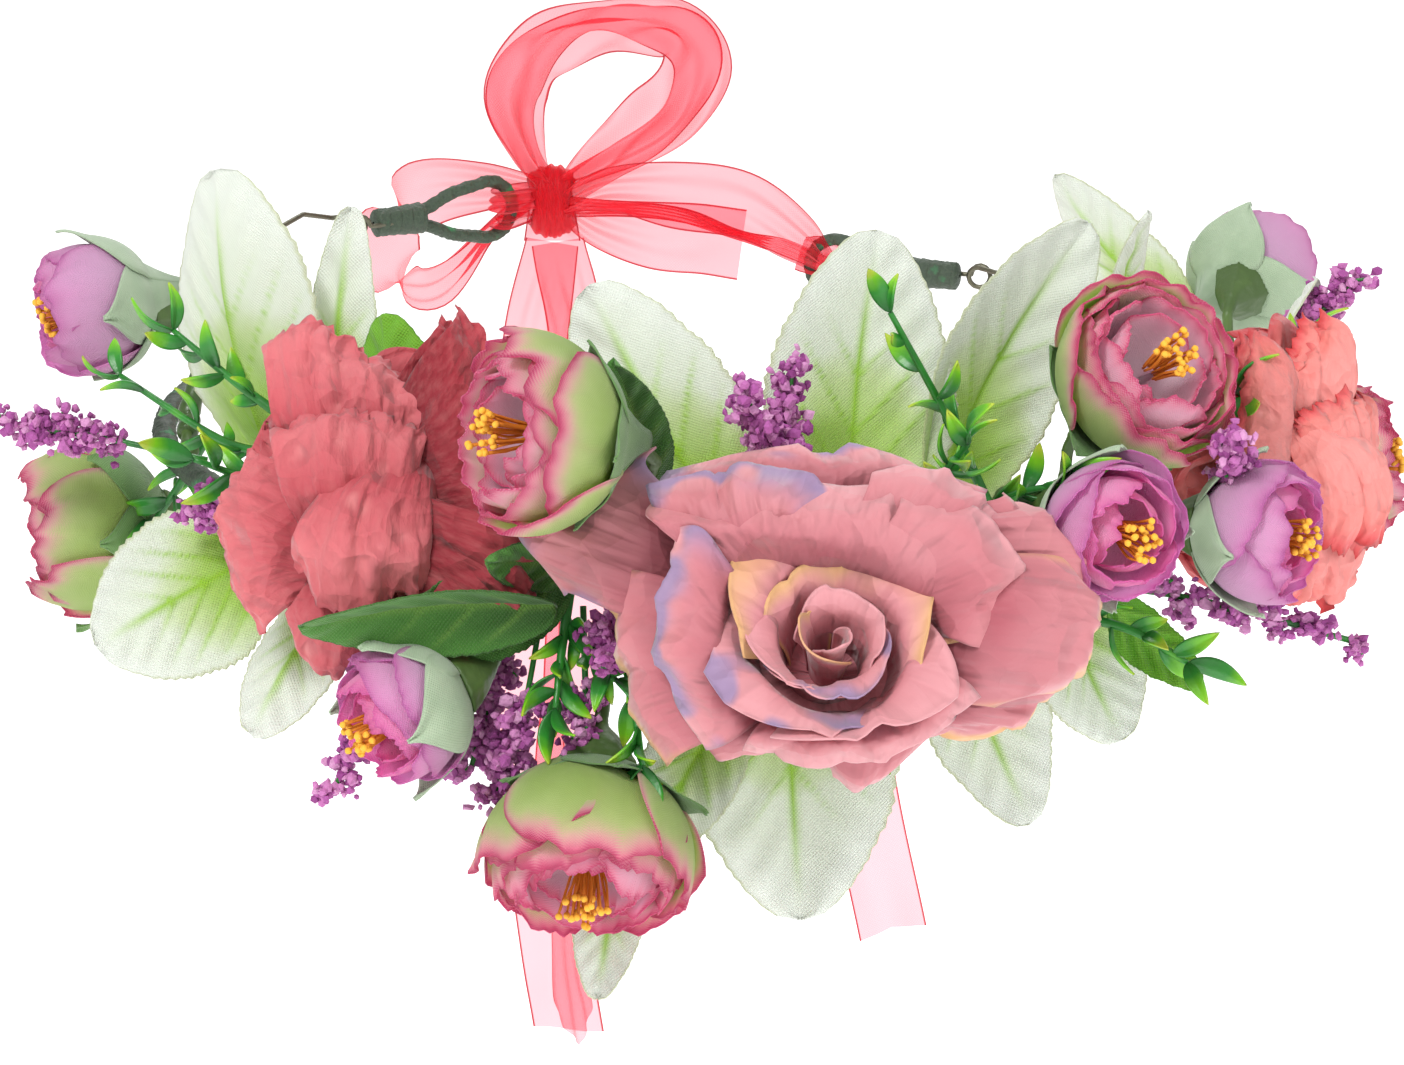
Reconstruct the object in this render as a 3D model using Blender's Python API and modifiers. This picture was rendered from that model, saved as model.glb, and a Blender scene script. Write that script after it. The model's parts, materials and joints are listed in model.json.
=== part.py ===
"""Flower crown: a taped wire band with fabric flowers, leaves and heather, tied with an organza ribbon.

The origin is the centre of the head opening, on the plane of the band. +Z is up, -Y is the front, and +Y
is the open back where the ribbon ties. Metres throughout.
"""

import math

import bmesh
import bpy
from mathutils import Matrix, Vector

# Band
RING_RADIUS = 0.091
CORE_RADIUS = 0.0005
TAPE_RADIUS = 0.0020
GAP = 0.0004
TAPE_END_LEFT = -0.170
TAPE_END_RIGHT = 0.196
TAPE_STEP = 0.008

# Eyes of taped wire at the two ends of the band
EYE_WIRE_RADIUS = 0.0012
EYE_LOOP_LENGTH = 0.019
EYE_LOOP_RADIUS = 0.0063
FERRULE_LENGTH = 0.010
FERRULE_WALL = 0.0006
EYE_TIP_LEFT = -0.0350
EYE_TIP_RIGHT = 0.0160
EYE_HEIGHT_LEFT = 0.0185
EYE_HEIGHT_RIGHT = 0.0065
HOOK_RADIUS = 0.0019
HOOK_TURN = math.radians(450)

# Ribbon
RIBBON_WIDTH = 0.0127
RIBBON_THICKNESS = 0.0008
KNOT_LENGTH = 0.0100
KNOT_HEIGHT = 0.0125
KNOT_DEPTH = 0.0085
KNOT_FROM_TIP = 0.0070
LEFT_TAIL_LENGTH = 0.150
RIGHT_TAIL_LENGTH = 0.118
TAIL_NECK_WIDTH = 0.0080

# Flowers
ROSE_ARC = 0.008
ROSE_HALF_WIDTH = 0.042
ROSE_HALF_HEIGHT = 0.026
ROSE_DEPTH = 0.016
CORAL_RADIUS = 0.024
CORAL_DEPTH = 0.009
RANUNCULUS_RADIUS = 0.0145
RANUNCULUS_DEPTH = 0.0125
BUD_RADIUS = 0.0110
BUD_DEPTH = 0.0105
STEM_RADIUS = 0.0010
CALYX_LENGTH = 0.006
STEM_TAPED = 0.005

# Leaves and sprigs
LEAF_THICKNESS = 0.0008
SPIKE_RADIUS = 0.0036

ROSE_LEFT = ROSE_ARC - ROSE_HALF_WIDTH
ROSE_RIGHT = ROSE_ARC + ROSE_HALF_WIDTH
STEM_REACH = TAPE_RADIUS + GAP + STEM_RADIUS
UP = Vector((0, 0, 1))


def material(name, colour, roughness, metallic=0.0):
    made = bpy.data.materials.new(name)
    made.use_nodes = True
    shader = made.node_tree.nodes["Principled BSDF"]
    shader.inputs["Base Color"].default_value = (*colour, 1)
    shader.inputs["Roughness"].default_value = roughness
    shader.inputs["Metallic"].default_value = metallic
    return made


def outward(arc):
    angle = arc / RING_RADIUS
    return Vector((math.sin(angle), -math.cos(angle), 0))


def along(arc):
    angle = arc / RING_RADIUS
    return Vector((math.cos(angle), math.sin(angle), 0))


def on_ring(arc, reach=0.0, height=0.0):
    """The point this far round the band from its front centre, out from its centre line and up."""
    return outward(arc) * (RING_RADIUS + reach) + UP * height


def facing(arc, direction):
    side, out, up = direction
    return (along(arc) * side + outward(arc) * out + UP * up).normalized()


def frame_at(place, axis):
    """A matrix at place whose Z is axis and whose X is level."""
    level = UP.cross(axis)
    if level.length < 1e-3:
        level = Vector((1, 0, 0))
    level.normalize()
    rotation = Matrix((level, axis.cross(level), axis)).transposed()
    return Matrix.Translation(place) @ rotation.to_4x4()


def new_object(name, data, finish, matrix=None):
    made = bpy.data.objects.new(name, data)
    crown.objects.link(made)
    data.materials.append(finish)
    if matrix is not None:
        made.matrix_world = matrix
    return made


def mesh_object(name, shape, finish, matrix=None):
    mesh = bpy.data.meshes.new(name)
    shape.to_mesh(mesh)
    shape.free()
    mesh.shade_smooth()
    return new_object(name, mesh, finish, matrix)


def tube(name, points, radius, finish, widths=None, caps=True, sides=2):
    """A round tube on a poly line. widths are shares of its radius, one a point."""
    curve = bpy.data.curves.new(name, "CURVE")
    curve.dimensions = "3D"
    curve.bevel_depth = radius
    curve.bevel_resolution = sides
    curve.use_fill_caps = caps
    line = curve.splines.new("POLY")
    line.points.add(len(points) - 1)
    for index, point in enumerate(points):
        line.points[index].co = (*point, 1)
        line.points[index].radius = widths[index] if widths else 1.0
    return new_object(name, curve, finish)


def sleeve(name, points, outer, wall, finish):
    """A hollow tube, open at both ends."""
    made = tube(name, points, outer, finish, caps=False)
    shell = made.modifiers.new("wall", "SOLIDIFY")
    shell.thickness = wall
    shell.offset = -1
    return made


def strip(name, points, width_way, widths, finish, thickness=RIBBON_THICKNESS):
    """A band of cloth along a line of points, its width laid along width_way."""
    shape = bmesh.new()
    bmesh.ops.create_grid(shape, x_segments=len(points) - 1, y_segments=2, size=0.5)
    for vertex in shape.verts:
        index = round((vertex.co.x + 0.5) * (len(points) - 1))
        vertex.co = Vector(points[index]) + width_way * (vertex.co.y * widths[index])
    made = mesh_object(name, shape, finish)
    shell = made.modifiers.new("thickness", "SOLIDIFY")
    shell.thickness = thickness
    shell.offset = 0
    return made


def smooth_line(corners, steps):
    """Points on a Catmull-Rom line through the corners."""
    ends = [corners[0] * 2 - corners[1], *corners, corners[-1] * 2 - corners[-2]]
    line = []
    for index in range(1, len(ends) - 2):
        a, b, c, d = ends[index - 1 : index + 3]
        for step in range(steps):
            t = step / steps
            bend = (a * 2 - b * 5 + c * 4 - d) * t**2 + (b * 3 - a - c * 3 + d) * t**3
            line.append(b + ((c - a) * t + bend) / 2)
    return [*line, ends[-2]]


# ---- band ----


def eye_frame(side, tip_x, height):
    """Origin at the tip of the eye, X towards the band, Z up."""
    tip = Vector((tip_x, math.sqrt(RING_RADIUS**2 - tip_x**2), height))
    chord = EYE_LOOP_LENGTH + FERRULE_LENGTH
    turn = 2 * math.asin(chord / (2 * RING_RADIUS))
    far = Matrix.Rotation(-side * turn, 3, "Z") @ tip
    way = (far - tip).normalized()
    rotation = Matrix((way, UP.cross(way), UP)).transposed()
    return Matrix.Translation(tip) @ rotation.to_4x4()


def build_eye(name, ferrule_name, frame):
    bend = EYE_LOOP_RADIUS - EYE_WIRE_RADIUS
    strand = EYE_WIRE_RADIUS + GAP / 2
    half = []
    for step in range(5):
        angle = math.radians(180 - 22.5 * step)
        centre = EYE_WIRE_RADIUS + bend
        half.append((centre + bend * math.cos(angle), bend * math.sin(angle)))
    half.append((EYE_LOOP_LENGTH * 0.7, bend * 0.75))
    half.append((EYE_LOOP_LENGTH, strand))
    half.append((EYE_LOOP_LENGTH + FERRULE_LENGTH, strand))
    outline = [(x, -z) for x, z in reversed(half[1:])] + half
    tube(name, [frame @ Vector((x, 0, z)) for x, z in outline], EYE_WIRE_RADIUS, tape_finish)
    bore = 2 * EYE_WIRE_RADIUS + GAP / 2 + GAP
    start = EYE_LOOP_LENGTH + GAP
    line = [frame @ Vector((start + FERRULE_LENGTH * share, 0, 0)) for share in (0, 0.5, 1)]
    sleeve(ferrule_name, line, bore + FERRULE_WALL, FERRULE_WALL, tape_finish)


def hook_points(frame):
    """The bare wire's end inside the ferrule, then the small pigtail ring that it is bent to outside it."""
    length = EYE_LOOP_LENGTH + FERRULE_LENGTH
    beside = EYE_WIRE_RADIUS + CORE_RADIUS + GAP / 2
    lead = 2 * CORE_RADIUS + 2 * GAP
    centre = length + HOOK_RADIUS + 4 * CORE_RADIUS
    points = [(length - FERRULE_LENGTH * 0.3, beside, 0), (length + GAP, beside, 0)]
    steps = 15
    for step in range(steps + 1):
        angle = HOOK_TURN * step / steps
        drift = lead * angle / math.radians(360)
        points.append(
            (centre - HOOK_RADIUS * math.cos(angle), beside - drift, HOOK_RADIUS * math.sin(angle))
        )
    points.append((centre + HOOK_RADIUS * 2, beside - 2 * lead, HOOK_RADIUS * 0.8))
    return [frame @ Vector(point) for point in points]


def build_band(left_frame, right_frame):
    steps = round((TAPE_END_RIGHT - TAPE_END_LEFT) / TAPE_STEP)
    arcs = [TAPE_END_LEFT + (TAPE_END_RIGHT - TAPE_END_LEFT) * i / steps for i in range(steps + 1)]
    taped = [on_ring(arc) for arc in arcs]
    wall = TAPE_RADIUS - CORE_RADIUS - GAP
    sleeve("band_tape", taped, TAPE_RADIUS, wall, tape_finish)

    left_hook = hook_points(left_frame)
    right_hook = hook_points(right_frame)
    left_bare = bare_run(left_hook[-1], TAPE_END_LEFT, EYE_HEIGHT_LEFT * 0.35)
    right_bare = bare_run(right_hook[-1], TAPE_END_RIGHT, EYE_HEIGHT_RIGHT * 0.25)
    whole = [*left_hook, *left_bare, *taped, *reversed(right_bare), *reversed(right_hook)]
    tube("band_core_wire", whole, CORE_RADIUS, wire_finish)


def bare_run(hook_end, tape_end, swell):
    """The bare wire between the hook and the tape, which rises a little over a straight line."""
    start = on_ring(tape_end)
    first = math.atan2(hook_end.x, -hook_end.y)
    last = math.atan2(start.x, -start.y)
    points = []
    for step in (1, 2, 3, 4, 5):
        share = step / 6
        angle = first + (last - first) * share
        radius = hook_end.to_2d().length * (1 - share) + RING_RADIUS * share
        height = hook_end.z * (0.5 + 0.5 * math.cos(math.pi * share)) + swell * math.sin(math.pi * share)
        points.append(Vector((radius * math.sin(angle), -radius * math.cos(angle), height)))
    return points


# ---- ribbon ----


def build_ribbon(left_frame, right_frame):
    """The tie: hitch in the left eye, knot, bow loop, wing through the right eye, lobe and three tails."""
    middle = left_frame @ Vector((-KNOT_FROM_TIP, 0, 0))
    side = Vector((1, 0, 0))
    back = Vector((0, 1, 0))

    shape = bmesh.new()
    bmesh.ops.create_uvsphere(shape, u_segments=12, v_segments=8, radius=0.5)
    size = Matrix.Diagonal((KNOT_LENGTH, KNOT_DEPTH, KNOT_HEIGHT, 1))
    bmesh.ops.transform(shape, matrix=size, verts=shape.verts)
    mesh_object("ribbon_knot", shape, ribbon_finish, Matrix.Translation(middle))

    clear = EYE_WIRE_RADIUS + GAP + RIBBON_THICKNESS / 2
    inside = 2 * EYE_WIRE_RADIUS + 2 * GAP + RIBBON_THICKNESS / 2
    start = KNOT_FROM_TIP - KNOT_LENGTH * 0.42 - GAP
    hitch = [(-start, -clear), (0, -clear), (inside, -clear * 0.5)]
    hitch += [(x, -y) for x, y in reversed(hitch)]
    hitch = [left_frame @ Vector((x, y, 0)) for x, y in hitch]
    hitch_width = (EYE_LOOP_RADIUS - 2 * EYE_WIRE_RADIUS) * 1.1
    strip("ribbon_hitch", hitch, UP, [hitch_width] * len(hitch), ribbon_finish)

    def at(x, y, z):
        return middle + side * x + back * y + UP * z

    top = KNOT_HEIGHT / 2 + RIBBON_THICKNESS + GAP
    loop = [
        at(-0.0035, 0, top),
        at(-0.0075, 0, top + 0.012),
        at(-0.0035, 0.001, top + 0.021),
        at(0.009, 0.003, top + 0.026),
        at(0.026, 0.004, top + 0.0245),
        at(0.029, 0.004, top + 0.018),
        at(0.020, 0.003, top + 0.010),
        at(0.0045, 0, top),
    ]
    line = smooth_line(loop, 4)
    lay = (back + UP * 0.25).normalized()
    widths = [gathered(i / (len(line) - 1), 0.5, 1.0) for i in range(len(line))]
    strip("bow_loop_upper", line, lay, widths, ribbon_finish)

    edge = KNOT_LENGTH / 2 + RIBBON_THICKNESS + GAP
    half_depth = KNOT_DEPTH * 0.35
    right_tip = right_frame.to_translation()
    through = right_frame @ Vector((inside + RIBBON_THICKNESS, 0, 0))
    inward = -Vector((right_tip.x, right_tip.y, 0)).normalized()
    arm = clear + 0.0015
    wing = [
        at(edge, -half_depth, 0),
        at(edge + 0.013, -half_depth - 0.001, -0.001),
        right_tip + inward * arm + Vector((-0.006, 0, 0.001)),
        through + inward * clear * 0.8,
        through - inward * clear * 0.8,
        right_tip - inward * arm + Vector((-0.006, 0, 0.001)),
        at(edge + 0.013, half_depth + 0.001, -0.001),
        at(edge, half_depth, 0),
    ]
    line = smooth_line(wing, 3)
    shares = [min(i, len(line) - 1 - i) / (len(line) - 1) * 2 for i in range(len(line))]
    waist = (EYE_LOOP_RADIUS - 2 * EYE_WIRE_RADIUS) * 1.1
    widths = [waist + (RIBBON_WIDTH * 0.9 - waist) * math.sin(math.pi * min(1, s * 1.25)) for s in shares]
    strip("bow_wing_right", line, UP, widths, ribbon_finish)

    lobe = [
        at(-0.004, KNOT_DEPTH / 2 + 0.0010, 0.003),
        at(-0.018, 0.014, 0.000),
        at(-0.033, 0.014, -0.004),
        at(-0.036, 0.014, -0.012),
        at(-0.028, 0.014, -0.022),
        at(-0.018, 0.014, -0.012),
        at(-0.010, 0.011, -0.004),
        at(-0.003, KNOT_DEPTH / 2 + 0.0012, -0.0015),
    ]
    line = smooth_line(lobe, 3)
    lay = (back + UP * 0.3).normalized()
    widths = [gathered(i / (len(line) - 1), 0.25, 0.8) for i in range(len(line))]
    strip("bow_lobe_left", line, lay, widths, ribbon_finish)

    below = -KNOT_HEIGHT / 2 - GAP - RIBBON_THICKNESS
    pivot = middle + UP * below
    apart = (RIBBON_THICKNESS + 3 * GAP) / 2
    hang_tail("tail_left_front", pivot, Vector((-0.001, -apart, 0)), LEFT_TAIL_LENGTH, 0.001)
    hang_tail("tail_left_back", pivot, Vector((0.001, apart, 0)), LEFT_TAIL_LENGTH * 1.05, 0.003)

    under = Vector((through.x + 0.003, 0, EYE_HEIGHT_RIGHT - EYE_LOOP_RADIUS - 2 * GAP - 0.002))
    under.y = -(inward.y) * (RING_RADIUS + arm)
    hang_tail("tail_right", under, Vector((0, 0, 0)), RIGHT_TAIL_LENGTH, 0.010)


def gathered(share, least, most):
    """Ribbon width at a share of its run: gathered at both ends, open between them."""
    return RIBBON_WIDTH * (least + (most - least) * math.sin(math.pi * share))


def hang_tail(name, pivot, offset, length, slant):
    """A tail that hangs straight down from its pivot and swings about X."""
    hanger = bpy.data.objects.new(name + "_pivot", None)
    hanger.location = pivot
    crown.objects.link(hanger)
    steps = 8
    line = []
    widths = []
    for step in range(steps + 1):
        share = step / steps
        line.append(offset * min(1, share * 4 + 0.5) + Vector((slant * share, 0, -length * share)))
        widths.append(TAIL_NECK_WIDTH + (RIBBON_WIDTH - TAIL_NECK_WIDTH) * min(1, share * 3))
    made = strip(name, line, Vector((1, 0, 0)), widths, ribbon_finish)
    made.parent = hanger


# ---- flowers ----


def petal_cup(name, matrix, half_width, half_height, depth, lobes, ruffle, finish):
    """A shallow open cup of petals, its mouth towards +Z of the matrix."""
    shape = bmesh.new()
    bmesh.ops.create_uvsphere(shape, u_segments=lobes * 4, v_segments=10, radius=1.0)
    for vertex in shape.verts:
        out = math.hypot(vertex.co.x, vertex.co.y)
        angle = math.atan2(vertex.co.y, vertex.co.x)
        front = vertex.co.z > 1e-6
        lift = (-0.45 + 0.85 * out**2) if front else (-1 + 1.3 * out**2)
        reach = 1 - ruffle * 0.5 * (1 - math.cos(lobes * angle)) * out
        vertex.co.x *= half_width * reach
        vertex.co.y *= half_height * reach
        vertex.co.z = depth * (lift if out < 0.999 else 0.35)
    return mesh_object(name, shape, finish, matrix)


def petal_ball(name, matrix, radius, depth, lobes, finish):
    """A closed round bloom with petals lapped round it and a small hollow at its mouth."""
    shape = bmesh.new()
    bmesh.ops.create_uvsphere(shape, u_segments=lobes * 2, v_segments=8, radius=1.0)
    for vertex in shape.verts:
        out = math.hypot(vertex.co.x, vertex.co.y)
        angle = math.atan2(vertex.co.y, vertex.co.x)
        lap = 1 - 0.04 * (1 + math.cos(lobes * angle))
        hollow = 0.35 * max(0, 1 - out / 0.5) if vertex.co.z > 0 else 0
        vertex.co = Vector(
            (vertex.co.x * radius * lap, vertex.co.y * radius * lap, (vertex.co.z - hollow) * depth)
        )
    return mesh_object(name, shape, finish, matrix)


def calyx_stem(name, matrix, depth, calyx_radius, anchor, lead, finish):
    """The calyx cone behind a bloom, narrowing to the stem that is taped along the band at anchor."""
    back = matrix.to_3x3() @ Vector((0, 0, -1))
    base = matrix.to_translation() + back * (depth + GAP)
    neck = base + back * CALYX_LENGTH
    hub = on_ring(anchor)
    run = along(anchor) * lead
    off = neck - hub
    off -= run.normalized() * off.dot(run.normalized())
    seat = hub + off.normalized() * STEM_REACH
    pull = (seat - neck).length * 0.4
    points = [base, base + back * CALYX_LENGTH * 0.5]
    for step in range(5):
        t = step / 4
        a = neck
        b = neck + back * pull
        c = seat - run.normalized() * pull
        points.append(a * (1 - t) ** 3 + b * (3 * t * (1 - t) ** 2) + c * (3 * t**2 * (1 - t)) + seat * t**3)
    finish_arc = anchor + lead
    hub = on_ring(finish_arc)
    off = seat - on_ring(anchor)
    out_share = off.dot(outward(anchor))
    points.append(hub + outward(finish_arc) * out_share + UP * off.z)
    widths = [calyx_radius / STEM_RADIUS, calyx_radius * 0.7 / STEM_RADIUS, 1.3] + [1.0] * 5
    tube(name, points, STEM_RADIUS, finish, widths)


def build_rose():
    place = on_ring(ROSE_ARC, 0.0345, 0.001)
    matrix = frame_at(place, facing(ROSE_ARC, (0, 1, -0.08)))
    petal_cup(
        "rose_outer_petals", matrix, ROSE_HALF_WIDTH, ROSE_HALF_HEIGHT, ROSE_DEPTH, 5, 0.12, rose_finish
    )
    size = ROSE_HALF_HEIGHT * 0.55
    rise = ROSE_DEPTH * 0.85
    heart = matrix @ Matrix.Translation((size * 0.3, -size * 0.1, rise - ROSE_DEPTH * 0.4 + GAP))
    petal_ball("rose_heart", heart, size, rise, 6, rose_finish)
    calyx_stem("rose_calyx_stem", matrix, ROSE_DEPTH, 0.007, ROSE_ARC - 0.004, STEM_TAPED, calyx_finish)


def build_corals():
    places = {
        "coral_left": (ROSE_LEFT - 0.010, CORAL_DEPTH + 0.006, 0.011, (0.15, 1, 0.1), -0.004),
        "coral_right": (ROSE_RIGHT + 0.042, CORAL_DEPTH + 0.007, 0.007, (0.1, 1, 0.1), 0.004),
    }
    for name, (arc, reach, height, direction, shift) in places.items():
        matrix = frame_at(on_ring(arc, reach, height), facing(arc, direction))
        tall = CORAL_RADIUS * 1.1
        petal_cup(name + "_petals", matrix, CORAL_RADIUS, tall, CORAL_DEPTH, 5, 0.15, coral_finish)
        lead = math.copysign(STEM_TAPED, shift)
        calyx_stem(name + "_calyx_stem", matrix, CORAL_DEPTH, 0.004, arc + shift, lead, calyx_finish)


def build_ranunculus():
    size = RANUNCULUS_RADIUS
    upper = ROSE_HALF_HEIGHT + size - 0.0125
    lower = -ROSE_HALF_HEIGHT - size + 0.0015
    places = {
        "ranunculus_upper": (ROSE_LEFT + 0.014, 0.034, upper, (-0.66, 0.71, 0.2), 1.05, -0.010),
        "ranunculus_right": (ROSE_RIGHT + 0.007, 0.020, 0.030, (0.05, 0.78, 0.6), 1.05, ROSE_RIGHT + 0.002),
        "ranunculus_bottom": (ROSE_ARC - 0.023, 0.026, lower, (0, 0.5, -0.85), 1.15, -0.020),
        "ranunculus_left": (-0.127, 0.0135, -0.014, (0, 1, 0), 1.0, -0.131),
        "ranunculus_far_right": (0.139, 0.0160, -0.006, (0, 1, 0.2), 0.86, 0.142),
    }
    for name, (arc, reach, height, direction, share, anchor) in places.items():
        matrix = frame_at(on_ring(arc, reach, height), facing(arc, direction))
        depth = RANUNCULUS_DEPTH * share
        petal_ball(name + "_bloom", matrix, size * share, depth, 7, ranunculus_finish)
        lead = math.copysign(STEM_TAPED, anchor - arc)
        calyx_stem(name + "_calyx_stem", matrix, depth, size * 0.45, anchor, lead, calyx_finish)


def build_buds():
    size = BUD_RADIUS
    places = {
        "bud_left": (-0.125, 0.013, 0.0235, (0.12, 1, 0.15), -0.112),
        "bud_lower_left": (ROSE_LEFT - 0.003, 0.0305, -0.018, (-0.62, 0.71, -0.35), -0.033),
        "bud_right_front": (ROSE_RIGHT - 0.006, 0.036, 0.011, (0.29, 0.95, -0.1), 0.034),
        "bud_right_side": (ROSE_RIGHT + 0.017, 0.033, 0.005, (0.4, 0.9, 0), 0.062),
        "bud_far_right": (0.184, 0.012, 0.015, (0.72, 0.69, 0.1), 0.166),
    }
    for name, (arc, reach, height, direction, anchor) in places.items():
        matrix = frame_at(on_ring(arc, reach, height), facing(arc, direction))
        petal_ball(name + "_bloom", matrix, size, BUD_DEPTH, 5, bud_finish)
        lead = math.copysign(STEM_TAPED, anchor - arc)
        calyx_stem(name + "_calyx_stem", matrix, BUD_DEPTH, size * 0.5, anchor, lead, calyx_finish)


# ---- leaves and sprigs ----


def leaf(name, root, tip, width, bow, turn, finish):
    """A leaf blade from root to tip. bow lifts its middle off that line, and turn rolls it about the line."""
    start = on_ring(*root)
    end = on_ring(*tip)
    line = end - start
    normal = outward((root[0] + tip[0]) / 2)
    across = line.cross(normal).normalized()
    across = Matrix.Rotation(math.radians(turn), 3, line.normalized()) @ across
    normal = across.cross(line.normalized())
    shape = bmesh.new()
    bmesh.ops.create_grid(shape, x_segments=7, y_segments=4, size=0.5)
    for vertex in shape.verts:
        share = vertex.co.x + 0.5
        outline = 0.12 + 0.88 * math.sin(math.pi * share**0.8) ** 0.7 if 0 < share < 1 else 0.10
        fold = abs(vertex.co.y) * 0.25
        lift = bow * math.sin(math.pi * share) - fold * width * outline
        vertex.co = start + line * share + across * (vertex.co.y * width * outline) + normal * lift
    made = mesh_object(name, shape, finish)
    shell = made.modifiers.new("thickness", "SOLIDIFY")
    shell.thickness = LEAF_THICKNESS
    shell.offset = 0


def build_leaves():
    over = TAPE_RADIUS + 0.004
    under = -over
    pale = {
        "leaf_left_tall": ((-0.078, 0.000, over), (-0.092, 0.001, 0.052), 0.029, 0.002, 0),
        "leaf_left_folded": ((-0.066, -0.002, over), (-0.071, -0.010, 0.048), 0.009, -0.002, 20),
        "leaf_crown_left": ((0.001, 0.000, over), (-0.021, -0.007, 0.041), 0.018, 0.002, 0),
        "leaf_crown_mid": ((0.021, 0.000, over), (0.030, -0.013, 0.048), 0.022, -0.002, 0),
        "leaf_crown_right": ((0.037, -0.004, over), (0.074, -0.010, 0.045), 0.018, -0.002, 0),
        "leaf_right_back": ((0.186, 0.000, over), (0.202, -0.018, 0.032), 0.014, 0.002, 0),
        "leaf_left_low": ((-0.078, 0.004, under), (-0.089, 0.026, -0.020), 0.019, -0.003, -15),
        "leaf_left_drop": ((-0.056, 0.006, under), (-0.058, 0.027, -0.026), 0.012, 0.002, 0),
        "leaf_bottom_mid": ((0.010, 0.006, under), (0.011, 0.014, -0.052), 0.024, 0.002, 0),
        "leaf_bottom_right": ((0.034, 0.004, under), (0.044, 0.012, -0.041), 0.015, 0.002, 0),
        "leaf_right_curled": ((0.053, 0.004, under), (0.060, 0.010, -0.031), 0.016, 0.003, 0),
    }
    for name, (root, tip, width, bow, turn) in pale.items():
        leaf(name, root, tip, width, bow, turn, pale_leaf_finish)
    green = {
        "leaf_bright": ((-0.049, -0.002, over), (-0.057, -0.004, 0.034), 0.014, 0.001, 0),
        "leaf_dark_folded": ((-0.020, 0.019, -0.002), (-0.044, 0.041, -0.003), 0.009, 0.001, 80),
    }
    for name, (root, tip, width, bow, turn) in green.items():
        leaf(name, root, tip, width, bow, turn, green_leaf_finish)


def spike(name, root, tip, thickness, bare, finish):
    """A sprig: a thin stalk for the bare share of its length, then a thicker head that tapers to its tip."""
    start = on_ring(*root)
    end = on_ring(*tip)
    shares = [0, bare * 0.5, bare, bare + (1 - bare) * 0.25, bare + (1 - bare) * 0.6, 1]
    points = [start.lerp(end, share) for share in shares]
    stalk = STEM_RADIUS
    widths = [1, 1, 1, thickness / stalk, thickness * 0.9 / stalk, thickness * 0.4 / stalk]
    tube(name, points, stalk, finish, widths)


def build_sprigs():
    over = STEM_REACH + 0.001
    heather = {
        "heather_left": ((-0.097, 0.001, over), (-0.112, 0.028, 0.009), 0.35),
        "heather_lower_left": ((-0.027, 0.003, -over), (-0.031, 0.019, -0.028), 0.4),
        "heather_centre": ((0.010, 0.000, over), (0.011, 0.001, 0.030), 0.35),
        "heather_upper_right": ((0.148, 0.001, over), (0.149, 0.015, 0.022), 0.35),
        "heather_lower_right": ((0.047, 0.003, -over), (0.080, 0.036, -0.015), 0.5),
    }
    for name, (root, tip, bare) in heather.items():
        spike(name, root, tip, SPIKE_RADIUS, bare, heather_finish)
    sprig_tip = (0.024, 0.008, 0.040)
    spike("plastic_sprig_centre", (0.043, 0.003, over), sprig_tip, SPIKE_RADIUS * 0.7, 0.3, sprig_finish)


for old in list(bpy.data.objects):
    bpy.data.objects.remove(old)
crown = bpy.data.collections.new("flower_crown")
bpy.context.scene.collection.children.link(crown)

tape_finish = material("floral_tape", (0.04, 0.07, 0.04), 0.75)
wire_finish = material("bare_wire", (0.15, 0.14, 0.10), 0.45, 0.9)
ribbon_finish = material("red_organza", (0.77, 0.04, 0.06), 0.5)
rose_finish = material("rose_satin", (0.70, 0.27, 0.31), 0.6)
coral_finish = material("coral_crepe", (0.75, 0.16, 0.16), 0.8)
ranunculus_finish = material("ranunculus_polyester", (0.50, 0.60, 0.25), 0.8)
bud_finish = material("lilac_polyester", (0.62, 0.26, 0.56), 0.8)
calyx_finish = material("calyx_green", (0.22, 0.32, 0.18), 0.8)
pale_leaf_finish = material("pale_leaf", (0.80, 0.88, 0.70), 0.8)
green_leaf_finish = material("green_leaf", (0.10, 0.28, 0.04), 0.7)
heather_finish = material("heather_foam", (0.35, 0.10, 0.33), 0.9)
sprig_finish = material("sprig_plastic", (0.08, 0.30, 0.05), 0.4)

left_eye = eye_frame(-1, EYE_TIP_LEFT, EYE_HEIGHT_LEFT)
right_eye = eye_frame(1, EYE_TIP_RIGHT, EYE_HEIGHT_RIGHT)
build_eye("eye_left", "ferrule_left", left_eye)
build_eye("eye_right", "ferrule_right", right_eye)
build_band(left_eye, right_eye)
build_ribbon(left_eye, right_eye)
build_rose()
build_corals()
build_ranunculus()
build_buds()
build_leaves()
build_sprigs()
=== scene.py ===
"""Flower crown: the finished look of each flower, leaf, sprig and ribbon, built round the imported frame."""

import json
import math

import bmesh
import bpy
import numpy as np
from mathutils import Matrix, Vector


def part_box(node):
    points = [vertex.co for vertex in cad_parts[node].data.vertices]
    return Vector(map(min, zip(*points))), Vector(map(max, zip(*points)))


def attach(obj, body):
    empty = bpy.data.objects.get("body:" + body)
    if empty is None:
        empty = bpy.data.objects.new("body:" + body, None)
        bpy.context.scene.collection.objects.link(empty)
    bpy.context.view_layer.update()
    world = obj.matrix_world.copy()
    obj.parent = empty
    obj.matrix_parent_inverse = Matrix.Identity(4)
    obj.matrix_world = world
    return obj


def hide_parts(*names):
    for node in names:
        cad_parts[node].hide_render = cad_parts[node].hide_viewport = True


MM = 0.001
CROWN = "crown"
UP = np.array((0.0, 0.0, 1.0))

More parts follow.
